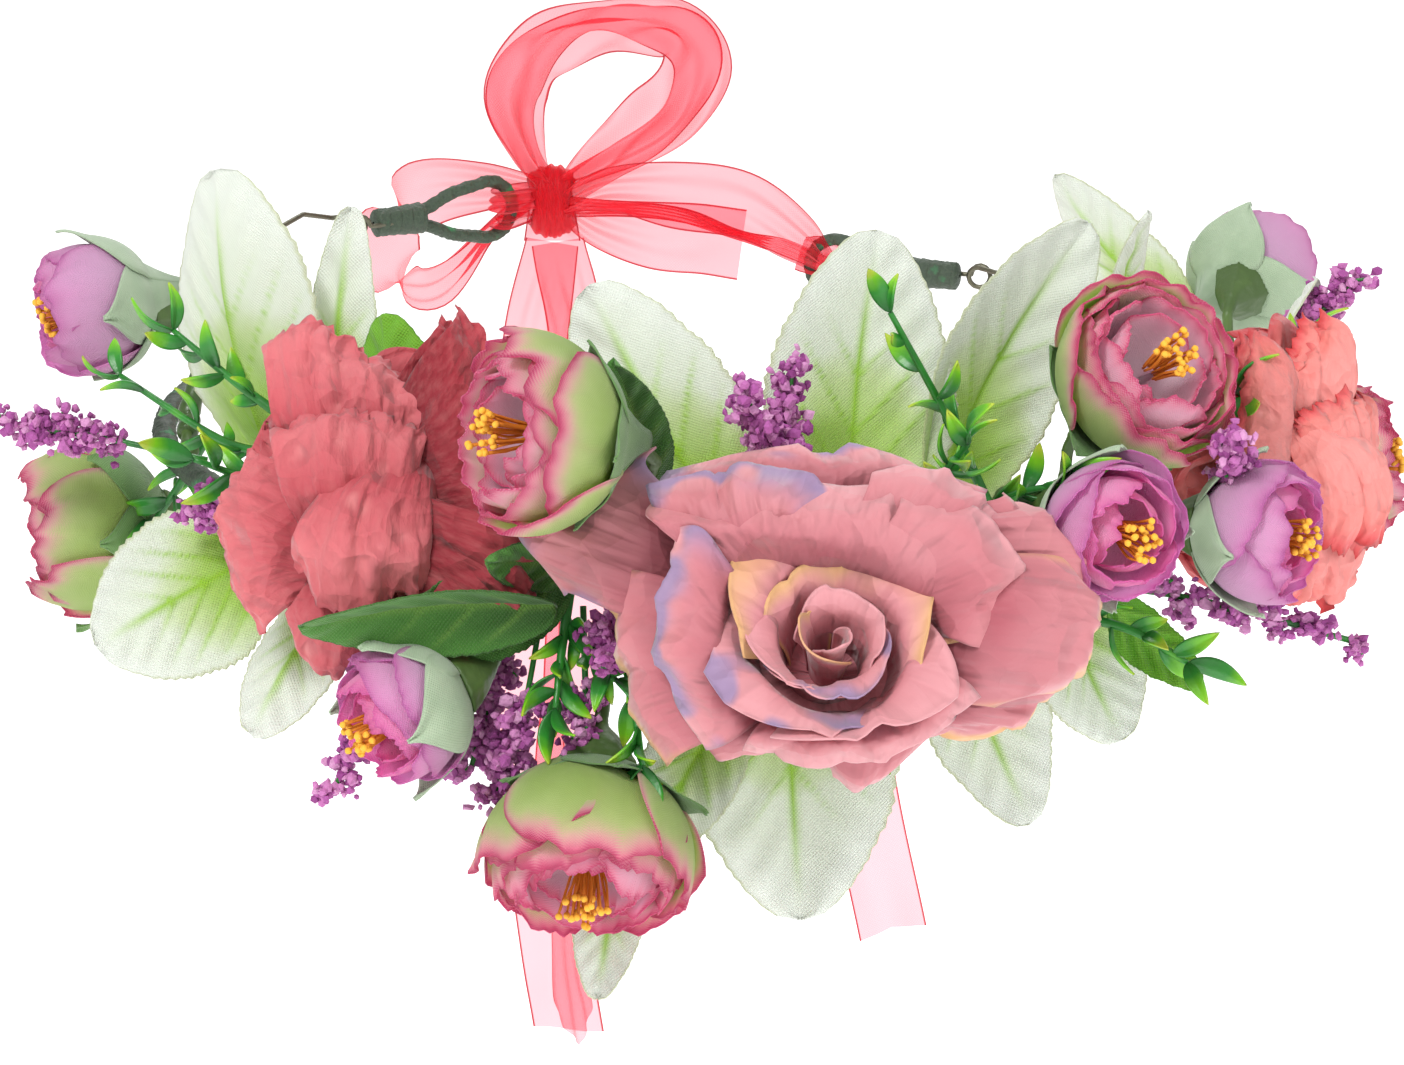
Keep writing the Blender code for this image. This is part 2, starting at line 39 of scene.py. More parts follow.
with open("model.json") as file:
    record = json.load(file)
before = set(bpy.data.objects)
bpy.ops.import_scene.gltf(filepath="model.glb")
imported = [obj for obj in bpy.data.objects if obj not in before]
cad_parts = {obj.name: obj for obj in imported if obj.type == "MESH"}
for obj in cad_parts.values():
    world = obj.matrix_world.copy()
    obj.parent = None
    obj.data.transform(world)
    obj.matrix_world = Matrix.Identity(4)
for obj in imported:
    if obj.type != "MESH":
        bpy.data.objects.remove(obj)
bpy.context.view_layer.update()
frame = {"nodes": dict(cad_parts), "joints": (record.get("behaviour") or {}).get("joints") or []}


# ---- small tools ----


def linear(code):
    """An sRGB hex colour as linear red, green, blue and alpha."""
    parts = [int(code[i : i + 2], 16) / 255 for i in (1, 3, 5)]
    return (*[p / 12.92 if p <= 0.04045 else ((p + 0.055) / 1.055) ** 2.4 for p in parts], 1.0)


def unit(vector):
    return np.asarray(vector, float) / np.linalg.norm(vector)


def smoothstep(low, high, value):
    t = np.clip((value - low) / (high - low), 0, 1)
    return t * t * (3 - 2 * t)


def middle(node):
    low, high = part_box(node)
    return (np.array(low) + np.array(high)) / 2


def vertices_of(node):
    mesh = frame["nodes"][node].data
    points = np.empty(len(mesh.vertices) * 3)
    mesh.vertices.foreach_get("co", points)
    return points.reshape(-1, 3)


def spine(node):
    """Root, tip and across direction of a long CAD piece; its root is the end nearer to the band."""
    points = vertices_of(node)
    centre = points.mean(0)
    axes = np.linalg.svd(points - centre, full_matrices=False)[2]
    reach = (points - centre) @ axes[0]
    ends = [centre + axes[0] * reach.min(), centre + axes[0] * reach.max()]
    ends.sort(key=lambda end: math.hypot(math.hypot(end[0], end[1]) - RING_RADIUS, end[2]))
    return ends[0], ends[1], axes[1]


def axes_facing(direction):
    """Rows X, Y and Z of a set of axes whose Z faces this way and whose X is level."""
    z = unit(direction)
    x = unit(np.cross(UP, z)) if abs(z[2]) < 0.999 else np.array((1.0, 0, 0))
    return np.array((x, np.cross(z, x), z))


def grid(columns, rows):
    """Across from -1 to 1 and along from 0 to 1, as two arrays."""
    return np.meshgrid(np.linspace(-1, 1, columns), np.linspace(0, 1, rows))


def ripple(across, along, rng, waves=4, pace=3.0):
    """A soft uneven swell between about -1 and 1."""
    total = 0.0
    for _ in range(waves):
        a, b = rng.normal(0, pace, 2)
        total = total + np.sin(a * across + b * along + rng.uniform(0, 2 * math.pi))
    return total / waves**0.5


def curve_through(corners, steps):
    """Points on a smooth line through the corners."""
    corners = np.asarray(corners, float)
    ends = np.vstack((2 * corners[0] - corners[1], corners, 2 * corners[-1] - corners[-2]))
    line = []
    for a, b, c, d in zip(ends, ends[1:], ends[2:], ends[3:]):
        for t in np.arange(steps) / steps:
            bend = (2 * a - 5 * b + 4 * c - d) * t**2 + (3 * b - a - 3 * c + d) * t**3
            line.append(b + ((c - a) * t + bend) / 2)
    return np.array([*line, corners[-1]])


class Sheets:
    """Curved sheets and tubes gathered into one piece. tint holds along, across, chance and layer."""

    def __init__(self):
        self.points = []
        self.faces = []
        self.cloth = []
        self.tint = []
        self.count = 0

    def add(self, points, cloth, tint, closed=False):
        """points is rows x columns x 3, cloth its place on the flat cloth in metres, tint four values."""
        rows, columns = points.shape[:2]
        index = np.arange(rows * columns).reshape(rows, columns) + self.count
        if closed:
            index = np.concatenate((index, index[:, :1]), 1)
        a, b, c, d = index[:-1, :-1], index[:-1, 1:], index[1:, 1:], index[1:, :-1]
        self.faces.append(np.stack((a, b, c, d), -1).reshape(-1, 4))
        self.points.append(points.reshape(-1, 3))
        self.cloth.append(cloth.reshape(-1, 2))
        self.tint.append(tint.reshape(-1, 4))
        self.count += rows * columns

    def tube(self, line, radius, sides=8, tint=(0.5, 0.5, 0.5, 0.5)):
        """A round tube along line; radius is one value or one a point. Both ends are drawn to a point."""
        line = np.asarray(line, float)
        line = np.vstack((line[:1], line, line[-1:]))
        radius = np.broadcast_to(radius, len(line) - 2)
        radius = np.concatenate(((radius[0] * 0.02,), radius, (radius[-1] * 0.02,)))
        step = np.gradient(line, axis=0)
        step /= np.linalg.norm(step, axis=1, keepdims=True) + 1e-12
        step[0], step[-1] = step[1], step[-2]
        side = np.cross(step[0], unit((0.3, 0.5, 0.8)))
        sides_at = []
        for way in step:
            side = side - way * (side @ way)
            side = side / np.linalg.norm(side)
            sides_at.append(side)
        side = np.array(sides_at)
        lift = np.cross(step, side)
        angle = np.linspace(0, 2 * math.pi, sides, endpoint=False)
        ring = side[:, None] * np.cos(angle)[None, :, None]
        ring = ring + lift[:, None] * np.sin(angle)[None, :, None]
        points = line[:, None] + ring * radius[:, None, None]
        run = np.linalg.norm(np.diff(line, axis=0), axis=1)
        run = np.concatenate(((0,), np.cumsum(run)))
        around = radius[:, None] * angle[None]
        cloth = np.stack((around, np.broadcast_to(run[:, None], around.shape)), -1)
        self.add(points, cloth, np.broadcast_to(tint, (*around.shape, 4)).copy(), closed=True)

    def make(self, name, finish, body=CROWN, thickness=0.0, replaces=()):
        """The finished piece, riding on its body. It stands for the CAD nodes that it replaces."""
        mesh = bpy.data.meshes.new(name)
        points = np.concatenate(self.points)
        faces = np.concatenate(self.faces)
        mesh.from_pydata(points.tolist(), [], faces.tolist())
        corner = np.empty(len(mesh.loops), int)
        mesh.loops.foreach_get("vertex_index", corner)
        cloth = mesh.uv_layers.new(name="cloth")
        cloth.uv.foreach_set("vector", np.concatenate(self.cloth)[corner].astype(np.float32).ravel())
        tint = mesh.attributes.new("tint", "FLOAT_COLOR", "POINT")
        tint.data.foreach_set("color", np.concatenate(self.tint).astype(np.float32).ravel())
        mesh.shade_smooth()
        mesh.materials.append(finish)
        piece = bpy.data.objects.new(name, mesh)
        bpy.context.scene.collection.objects.link(piece)
        if thickness:
            shell = piece.modifiers.new("cloth thickness", "SOLIDIFY")
            shell.thickness = thickness
            shell.offset = 0
        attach(piece, body)
        if replaces:
            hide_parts(*replaces)
        return piece


# ---- finishes ----


def finish(name):
    """A new material and its node tree, with only the output left in it."""
    made = bpy.data.materials.new(name)
    made.use_nodes = True
    tree = made.node_tree
    tree.nodes.clear()
    return made, tree


def put(tree, kind, inputs=None, **settings):
    """Adds a node, sets it, and gives each input its value or a link from another node's output."""
    node = tree.nodes.new("ShaderNode" + kind)
    for key, value in settings.items():
        setattr(node, key, value)
    for key, value in (inputs or {}).items():
        if isinstance(value, bpy.types.NodeSocket):
            tree.links.new(value, node.inputs[key])
        else:
            node.inputs[key].default_value = value
    return node


def ramp(tree, factor, stops):
    """Colours by factor: stops are (place, hex colour)."""
    node = put(tree, "ValToRGB", {"Fac": factor})
    while len(node.color_ramp.elements) < len(stops):
        node.color_ramp.elements.new(0.5)
    for element, (place, code) in zip(node.color_ramp.elements, stops):
        element.position = place
        element.color = linear(code)
    return node.outputs["Color"]


def mixed(tree, factor, first, second, blend="MIX"):
    node = put(tree, "Mix", data_type="RGBA", blend_type=blend)
    for index, value in ((0, factor), (6, first), (7, second)):
        if isinstance(value, bpy.types.NodeSocket):
            tree.links.new(value, node.inputs[index])
        else:
            node.inputs[index].default_value = value
    return node.outputs[2]


def maths(tree, operation, *values):
    return put(tree, "Math", dict(enumerate(values)), operation=operation).outputs[0]


def smooth_mask(tree, value, low, high):
    """0 at low, 1 at high, with an eased rise between them."""
    limits = {"Value": value, "From Min": low, "From Max": high}
    return put(tree, "MapRange", limits, interpolation_type="SMOOTHSTEP").outputs[0]


def mask_above(tree, value, limit):
    return maths(tree, "GREATER_THAN", value, limit)


def mask_below(tree, value, limit):
    return maths(tree, "LESS_THAN", value, limit)


def tint_parts(tree):
    """along, across, chance and layer, as stored on every sheet."""
    stored = put(tree, "Attribute", attribute_name="tint")
    parts = put(tree, "SeparateColor", {"Color": stored.outputs["Color"]})
    return (*parts.outputs[:3], stored.outputs["Alpha"])


def weave(tree, thread):
    """The height of a plain weave, 0 to 1, from two sets of threads this far apart in metres."""
    flat = put(tree, "UVMap", uv_map="cloth").outputs[0]
    parts = put(tree, "SeparateXYZ", {0: flat})
    turn = 2 * math.pi / thread
    warp = maths(tree, "SINE", maths(tree, "MULTIPLY", parts.outputs[0], turn))
    weft = maths(tree, "SINE", maths(tree, "MULTIPLY", parts.outputs[1], turn))
    return maths(tree, "MULTIPLY_ADD", maths(tree, "MULTIPLY", warp, weft), 0.5, 0.5)


def cloud(tree, size, detail=3.0, stretch=(1, 1, 1)):
    """Soft noise whose lumps are about this many metres across, from the piece's own coordinates."""
    place = put(tree, "TexCoord").outputs["Object"]
    moved = put(tree, "Mapping", {"Vector": place, "Scale": [s / size for s in stretch]}).outputs[0]
    return put(tree, "TexNoise", {"Vector": moved, "Scale": 1.0, "Detail": detail}).outputs["Fac"]


def stretched_cloth(tree, along, across):
    """The flat cloth's coordinates with this many noise lumps a metre along and across it."""
    flat = put(tree, "UVMap", uv_map="cloth").outputs[0]
    return put(tree, "Mapping", {"Vector": flat, "Scale": (across, along, 1)}).outputs[0]


def crumple(tree, size):
    """Crushed-cloth creases: flat facets about this many metres across that meet in sharp uneven folds."""
    place = put(tree, "TexCoord").outputs["Object"]
    stir = put(tree, "TexNoise", {"Vector": place, "Scale": 0.7 / size, "Detail": 2.0}).outputs["Color"]
    moved = put(tree, "VectorMath", {0: stir, 1: (size, size, size)}, operation="MULTIPLY").outputs[0]
    moved = put(tree, "VectorMath", {0: place, 1: moved}, operation="ADD").outputs[0]
    cells = put(tree, "TexVoronoi", {"Vector": moved, "Scale": 1 / size, "Detail": 1.0})
    return cells.outputs["Distance"]


def close_finish(tree, shader):
    output = put(tree, "OutputMaterial")
    tree.links.new(shader, output.inputs["Surface"])


def cloth_shader(tree, colour, height, roughness, depth, sheen, clear):
    """A dyed cloth surface: bumped by height, with the soft sheen of fibres and some light let through."""
    bump = put(tree, "Bump", {"Height": height, "Distance": depth, "Strength": 1.0}).outputs[0]
    fibres = {"Sheen Weight": sheen, "Sheen Roughness": 0.5}
    look = {"Base Color": colour, "Roughness": roughness, "Normal": bump, **fibres}
    face = put(tree, "BsdfPrincipled", look)
    through = put(tree, "BsdfTranslucent", {"Color": colour, "Normal": bump})
    both = put(tree, "MixShader", {0: clear, 1: face.outputs[0], 2: through.outputs[0]})
    return both.outputs[0]


def rose_satin():
    """Heat-formed satin-faced polyester: matt and softly creased, with painted shade deep in each petal's
    foot, pale at the lips, and patches of painted highlight.
    """
    made, tree = finish("rose_satin")
    along, across, chance, _ = tint_parts(tree)
    # Painted shade: each petal is painted darker towards its foot, deep in the rose, and pales to its lip.
    base = ramp(tree, along, [(0.0, "#7E2C3A"), (0.30, "#AC5561"), (0.70, "#C9777F"), (1.0, "#DC989E")])
    patch = cloud(tree, 14 * MM, 2.0)
    # Painted highlight: where the patch noise is high, the satin is painted a paler pink.
    paler = ramp(tree, patch, [(0.35, "#000000"), (0.75, "#8C8C8C")])
    base = mixed(tree, paler, base, linear("#E4ACAF"))
    rim = smooth_mask(tree, maths(tree, "ADD", across, maths(tree, "SUBTRACT", patch, 0.5)), 0.45, 1.0)
    ochre = maths(tree, "MULTIPLY", rim, mask_above(tree, chance, 0.62))
    base = mixed(tree, maths(tree, "MULTIPLY", ochre, 0.85), base, linear("#DDAE6C"))
    lilac = maths(tree, "MULTIPLY", smooth_mask(tree, across, 0.15, 0.8), mask_below(tree, chance, 0.30))
    lilac = maths(tree, "MULTIPLY", lilac, smooth_mask(tree, cloud(tree, 9 * MM, 1.0), 0.42, 0.56))
    base = mixed(tree, maths(tree, "MULTIPLY", lilac, 0.85), base, linear("#8F7FA8"))
    # Threads of a satin face are about 0.1 mm, drawn at 0.3 mm so that they show.
    threads = maths(tree, "MULTIPLY", weave(tree, 0.3 * MM), 0.02)
    height = maths(tree, "ADD", threads, cloud(tree, 1.2 * MM, 4.0))
    folds = put(tree, "TexNoise", {"Vector": stretched_cloth(tree, 45, 260), "Scale": 1.0, "Detail": 2.0})
    height = maths(tree, "MULTIPLY_ADD", crumple(tree, 11 * MM), 2.6, maths(tree, "MULTIPLY", height, 0.07))
    height = maths(tree, "MULTIPLY_ADD", folds.outputs[0], 2.0, height)
    close_finish(tree, cloth_shader(tree, base, height, 0.62, 0.9 * MM, 0.25, 0.12))
    return made


def coral_crepe():
    """Crinkled crepe-finish polyester: matt and finely creased, with painted highlights on its creases and
    facets and deep red painted shade on the petals in the shade.
    """
    made, tree = finish("coral_crepe")
    along, across, chance, layer = tint_parts(tree)
    light = ramp(tree, along, [(0.0, "#A82E3A"), (0.3, "#D05560"), (0.75, "#E67F85"), (1.0, "#DE6A73")])
    warm = ramp(tree, across, [(0.0, "#FFA8A2"), (0.50, "#FC968E"), (0.80, "#F0686A"), (1.0, "#DA3A3C")])
    # Painted shade: layer lays this deep red over the petals that lie in shade.
    deep = ramp(tree, along, [(0.0, "#861C2A"), (0.5, "#AE2E3C"), (1.0, "#C84452")])
    base = mixed(tree, layer, mixed(tree, chance, light, warm), deep)
    crease = put(tree, "TexNoise", {"Vector": stretched_cloth(tree, 260, 700), "Scale": 1.0, "Detail": 4.0})
    # Painted highlight: pale streaks along the stretched crease noise.
    lit = ramp(tree, crease.outputs[0], [(0.40, "#000000"), (0.72, "#6A6A6A")])
    base = mixed(tree, lit, base, linear("#F2A6A0"))
    crushed = crumple(tree, 7 * MM)
    # Painted highlight: the middle of each crumpled facet is painted paler, darker towards its creases.
    painted_facet_highlight = mixed(tree, 0.22, base, linear("#FFC4BC"))
    base = mixed(tree, smooth_mask(tree, crushed, 0.55, 0.15), base, painted_facet_highlight)
    height = maths(tree, "MULTIPLY_ADD", crushed, 1.7, maths(tree, "MULTIPLY", crease.outputs[0], 0.5))
    close_finish(tree, cloth_shader(tree, base, height, 0.75, 1.1 * MM, 0.25, 0.3))
    return made


def printed_petal(name, stops_outer, stops_inner, dot, thread, clear):
    """Woven polyester dyed from the edge in: the weave shows as fine dots where the edge dye fades."""
    made, tree = finish(name)
    _, across, _, layer = tint_parts(tree)
    threads = weave(tree, thread)
    dots = maths(tree, "MULTIPLY", maths(tree, "SUBTRACT", threads, 0.5), dot)
    spread = maths(tree, "ADD", across, dots)
    patch = maths(tree, "MULTIPLY", maths(tree, "SUBTRACT", cloud(tree, 6 * MM, 2.0), 0.5), 0.35)
    spread = maths(tree, "ADD", spread, patch)
    base = mixed(tree, layer, ramp(tree, spread, stops_outer), ramp(tree, spread, stops_inner))
    gaps = maths(tree, "MULTIPLY", smooth_mask(tree, threads, 0.7, 0.2), 0.07)
    base = mixed(tree, gaps, base, linear("#B88698"))
    close_finish(tree, cloth_shader(tree, base, threads, 0.75, 0.08 * MM, 0.25, clear))
    return made


def ranunculus_cloth():
    """Lime polyester with a sprayed magenta rim. Its 0.3 mm threads are drawn at 0.45, to show."""
    outer = [(0.0, "#C6E082"), (0.40, "#DAE9A6"), (0.66, "#F6D2CC"), (0.87, "#EE90B0"), (1.0, "#D65684")]
    inner = [(0.0, "#FFEFF6"), (0.5, "#FFE0EE"), (0.82, "#FFC2D8"), (1.0, "#E8709E")]
    return printed_petal("ranunculus_polyester", outer, inner, 0.25, 0.45 * MM, 0.62)


def lilac_cloth():
    """Lilac polyester of the buds, pinker inside. Its threads are drawn coarser than they are, to show."""
    outer = [(0.0, "#F4D2EE"), (0.6, "#F2C0E6"), (0.9, "#E6A0D4"), (1.0, "#D884C4")]
    inner = [(0.0, "#FFD6EE"), (0.6, "#FFB0DC"), (1.0, "#F084C6")]
    return printed_petal("lilac_polyester", outer, inner, 0.2, 0.45 * MM, 0.62)


def sepal_cloth(name, pale, deep):
    """Green polyester of the sepals: matt with a slight fibre sheen and faint ribs running to the tip."""
    made, tree = finish(name)
    along, _, _, _ = tint_parts(tree)
    base = mixed(tree, cloud(tree, 4 * MM, 3.0), linear(deep), linear(pale))
    base = mixed(tree, maths(tree, "MULTIPLY", along, 0.5), base, linear(pale))
    # Its threads are about 0.3 mm apart, drawn at 0.5 so that they show.
    threads = weave(tree, 0.5 * MM)
    base = mixed(tree, maths(tree, "MULTIPLY", threads, 0.25), base, linear(deep))
    close_finish(tree, cloth_shader(tree, base, threads, 0.75, 0.08 * MM, 0.3, 0.1))
    return made


def leaf_cloth(name, stops, vein, rim, clear):
    """Printed leaf cloth, stiffened: an open weave that lets light through, with tinted veins and edge."""
    made, tree = finish(name)
    along, across, _, layer = tint_parts(tree)
    # Its threads are about 0.35 mm apart, drawn at 0.55 so that they show.
    threads = weave(tree, 0.55 * MM)
    patch = maths(tree, "MULTIPLY", maths(tree, "SUBTRACT", cloud(tree, 12 * MM, 3.0), 0.5), 0.35)
    paler = maths(tree, "MULTIPLY_ADD", across, 0.30, patch)
    base = ramp(tree, maths(tree, "ADD", along, paler), stops)
    edge = maths(tree, "MULTIPLY", smooth_mask(tree, across, 0.86, 1.0), 0.55)
    base = mixed(tree, edge, base, linear(rim))
    base = mixed(tree, maths(tree, "MULTIPLY", layer, 0.9), base, linear(vein))
    raised = maths(tree, "MULTIPLY", smooth_mask(tree, threads, 0.5, 1.0), 0.14)
    base = mixed(tree, raised, base, linear("#8FA080"))
    height = maths(tree, "ADD", threads, maths(tree, "MULTIPLY", layer, 2.0))
    close_finish(tree, cloth_shader(tree, base, height, 0.7, 0.12 * MM, 0.2, clear))
    return made


def moulded(name, stops, size, roughness=0.35, clear=0.1):
    """Injection-moulded polyethylene: waxy gloss, colour drifting from stem green to yellow tips."""
    made, tree = finish(name)
    along, _, _, _ = tint_parts(tree)
    drift = maths(tree, "ADD", along, maths(tree, "SUBTRACT", cloud(tree, size, 3.0), 0.5))
    base = ramp(tree, drift, stops)
    bump = put(tree, "Bump", {"Height": cloud(tree, 0.8 * MM, 3.0), "Distance": 0.08 * MM}).outputs[0]
    wax = {"Base Color": base, "Roughness": roughness, "Normal": bump, "IOR": 1.5}
    face = put(tree, "BsdfPrincipled", wax)
    through = put(tree, "BsdfTranslucent", {"Color": base})
    both = put(tree, "MixShader", {0: clear, 1: face.outputs[0], 2: through.outputs[0]})
    close_finish(tree, both.outputs[0])
    return made


def foam_crumb():
    """Dyed foam crumbs of heather: porous and matt, each crumb a little lighter or darker."""
    made, tree = finish("heather_foam")
    _, _, chance, _ = tint_parts(tree)
    base = ramp(tree, chance, [(0.0, "#8A3A7E"), (0.35, "#B25CA4"), (0.7, "#CC7EBA"), (1.0, "#E0A8D0")])
    base = mixed(tree, maths(tree, "MULTIPLY", cloud(tree, 0.7 * MM, 2.0), 0.5), base, linear("#8A3A7C"))
    bump = put(tree, "Bump", {"Height": cloud(tree, 0.5 * MM, 4.0), "Distance": 0.25 * MM}).outputs[0]
    face = put(tree, "BsdfPrincipled", {"Base Color": base, "Roughness": 0.85, "Normal": bump})
    close_finish(tree, face.outputs[0])
    return made


def stamen_paint():
    """Stamen threads dipped in ochre powder: dry yellow orange, paler at the anthers."""
    made, tree = finish("stamen_powder")
    along, _, _, _ = tint_parts(tree)
    base = ramp(tree, along, [(0.0, "#B8640F"), (0.6, "#DE8A18"), (1.0, "#F0B437")])
    bump = put(tree, "Bump", {"Height": cloud(tree, 0.3 * MM, 3.0), "Distance": 0.1 * MM}).outputs[0]
    face = put(tree, "BsdfPrincipled", {"Base Color": base, "Roughness": 0.7, "Normal": bump})
    close_finish(tree, face.outputs[0])
    return made


def organza():
    """Sheer red nylon organza: a crisp fine net, denser at its woven edges, in folds and on the slant."""
    made, tree = finish("red_organza")
    _, across, _, layer = tint_parts(tree)
    # The net is about 6 threads a millimetre, drawn at 2 so that it shows.
    threads = weave(tree, 0.5 * MM)
    slant = put(tree, "LayerWeight", {"Blend": 0.45}).outputs["Facing"]
    cover = maths(tree, "MULTIPLY_ADD", slant, 0.50, 0.14)
    cover = maths(tree, "ADD", cover, maths(tree, "MULTIPLY", threads, 0.10))
    cover = maths(tree, "ADD", cover, maths(tree, "MULTIPLY", smooth_mask(tree, across, 0.93, 0.97), 0.75))
    gathered = maths(tree, "MULTIPLY", layer, layer)
    cover = maths(tree, "ADD", cover, maths(tree, "MULTIPLY", gathered, 0.22))
    cover = put(tree, "Clamp", {"Value": cover, "Max": 0.96}).outputs[0]
    red = mixed(tree, smooth_mask(tree, across, 0.90, 0.97), linear("#EC1C34"), linear("#BE1028"))
    face = put(tree, "BsdfPrincipled", {"Base Color": red, "Roughness": 0.45, "Sheen Weight": 0.3})
    glow = put(tree, "BsdfTranslucent", {"Color": red})
    cloth = put(tree, "MixShader", {0: 0.45, 1: face.outputs[0], 2: glow.outputs[0]})
    clear = put(tree, "BsdfTransparent", {"Color": linear("#FFD0D7")})
    both = put(tree, "MixShader", {0: cover, 1: clear.outputs[0], 2: cloth.outputs[0]})
    close_finish(tree, both.outputs[0])
    return made


def floral_tape():
    """Waxed crepe tape, stretched as it is wound: dark green with fine creases and dull waxy spots."""
    made, tree = finish("floral_tape")
    place = put(tree, "TexCoord").outputs["Object"]
    crepe = put(tree, "TexNoise", {"Vector": place, "Scale": 1 / (0.6 * MM), "Detail": 4.0}).outputs[0]
    wax = cloud(tree, 5 * MM, 3.0)
    base = mixed(tree, crepe, linear("#26332A"), linear("#44543F"))
    base = mixed(tree, smooth_mask(tree, wax, 0.60, 0.70), base, linear("#2F7A4A"))
    bump = put(tree, "Bump", {"Height": crepe, "Distance": 0.3 * MM}).outputs[0]
    rough = maths(tree, "MULTIPLY_ADD", wax, 0.3, 0.45)
    face = put(tree, "BsdfPrincipled", {"Base Color": base, "Roughness": rough, "Normal": bump})
    close_finish(tree, face.outputs[0])
    return made


def annealed_wire():
    """Dark annealed steel wire: drawn smooth, dull grey olive with faint oxide bands."""
    made, tree = finish("bare_wire")
    oxide = cloud(tree, 3 * MM, 3.0)
    base = mixed(tree, oxide, linear("#55544A"), linear("#7A7765"))
    rough = maths(tree, "MULTIPLY_ADD", oxide, 0.3, 0.35)
    face = put(tree, "BsdfPrincipled", {"Base Color": base, "Metallic": 1.0, "Roughness": rough})
    close_finish(tree, face.outputs[0])
    return made


TAPE = floral_tape()
WIRE = annealed_wire()
ROSE = rose_satin()
CORAL = coral_crepe()
RANUNCULUS = ranunculus_cloth()
LILAC = lilac_cloth()
SEPAL = sepal_cloth("sepal_polyester", "#B9CBAE", "#7F9B78")
DARK_SEPAL = sepal_cloth("dark_sepal_polyester", "#76A058", "#3C6432")
STEM_STOPS = [(0.0, "#47602F"), (0.6, "#6C8A45"), (1.0, "#8DA75E")]
STEM = moulded("stem_plastic", STEM_STOPS, 6 * MM, 0.45)
SLEEVE = moulded("sleeve_plastic", [(0.0, "#2A4426"), (1.0, "#56703C")], 3 * MM, 0.3, 0.2)
SPRIG_STOPS = [(0.0, "#1C5A26"), (0.45, "#2F8A2E"), (0.8, "#7AC51F"), (1.0, "#B5C83A")]
SPRIG = moulded("sprig_plastic", SPRIG_STOPS, 8 * MM)
PALE_STOPS = [(0.0, "#96C43A"), (0.28, "#B8D870"), (0.46, "#D4E4B0"), (0.62, "#E8EEE0"), (1.0, "#EDF1EA")]
PALE_LEAF = leaf_cloth("pale_leaf", PALE_STOPS, "#A6D432", "#C9CF9A", 0.4)
BRIGHT_STOPS = [(0.0, "#4E9416"), (0.5, "#69B01C"), (1.0, "#7FC02C")]
BRIGHT_LEAF = leaf_cloth("bright_leaf", BRIGHT_STOPS, "#8FCB45", "#3F7A12", 0.3)
DARK_STOPS = [(0.0, "#2C5A1A"), (0.5, "#3F7A22"), (1.0, "#4F8A34")]
DARK_LEAF = leaf_cloth("dark_leaf", DARK_STOPS, "#6C9A3C", "#2A4A18", 0.2)
HEATHER = foam_crumb()
STAMEN = stamen_paint()
ORGANZA = organza()

BAND_LOW, BAND_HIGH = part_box("band_tape")
# The band's centre line: half the tape's height inside the band's outer edge.
RING_RADIUS = BAND_HIGH[0] - (BAND_HIGH[2] - BAND_LOW[2]) / 2


# ---- petals ----


def whorl_petal(sheets, centre, axes, azimuth, length, half_width, rise, rng, chance):
    """A plain crumpled petal that grows outwards. rise is its slope at root and tip, in degrees."""
    columns = 49
    rows = 41
    crinkle = 1.3 * MM
    across, along = grid(columns, rows)
    outline = 1.22 * along**0.45 * np.sqrt(np.clip(1 - along**6.0, 0, 1)) + 0.04
    tip_roll = smoothstep(0.72, 1.0, along) * 20
    angle = np.radians(rise[0] + (rise[1] - rise[0]) * along**0.8 - tip_roll)
    step = length / (rows - 1)
    out = 2 * MM + np.cumsum(np.cos(angle), 0) * step
    lift = -5 * MM + np.cumsum(np.sin(angle), 0) * step
    side = across * half_width * outline
    lift = lift + 0.2 * half_width * across**2 * np.sin(np.pi * np.clip(along, 0, 1) ** 0.7)
    edge = smoothstep(0.72, 1.0, np.abs(across))
    lift = lift - edge * half_width * 0.12 * along
    lift = lift + 0.06 * length * ripple(across, along * 2, rng, 4, 2.4) * (0.25 + along)
    folds = np.abs(ripple(across * 2.2, along * 0.5, rng, 5, 4.0))
    fine = ripple(across * 5, along * 2.5, rng, 6, 4.0)
    lift = lift + crinkle * (folds - 0.5) * (0.3 + along) + crinkle * 0.25 * fine
    side = side + crinkle * 0.5 * fine * along
    out = out + crinkle * 0.8 * np.sin(across * 9 + rng.uniform(0, 6)) * along**3
    ragged = rng.normal(0, 0.004 * length, columns)
    out = out + ragged[None] * along**6
    c = math.cos(math.radians(azimuth))
    s = math.sin(math.radians(azimuth))
    local = np.stack((out * c - side * s, out * s + side * c, lift), -1)
    rim = np.maximum(np.abs(across) ** 3 * (0.3 + 0.7 * along), along**4)
    ones = np.ones_like(across)
    # A layer of 0.5 paints these plain petals halfway to the coral's deep red painted shade.
    tint = np.stack((along, rim, ones * chance, ones * 0.5), -1)
    sheets.add(centre + local @ axes, np.stack((side, along * length), -1), tint)


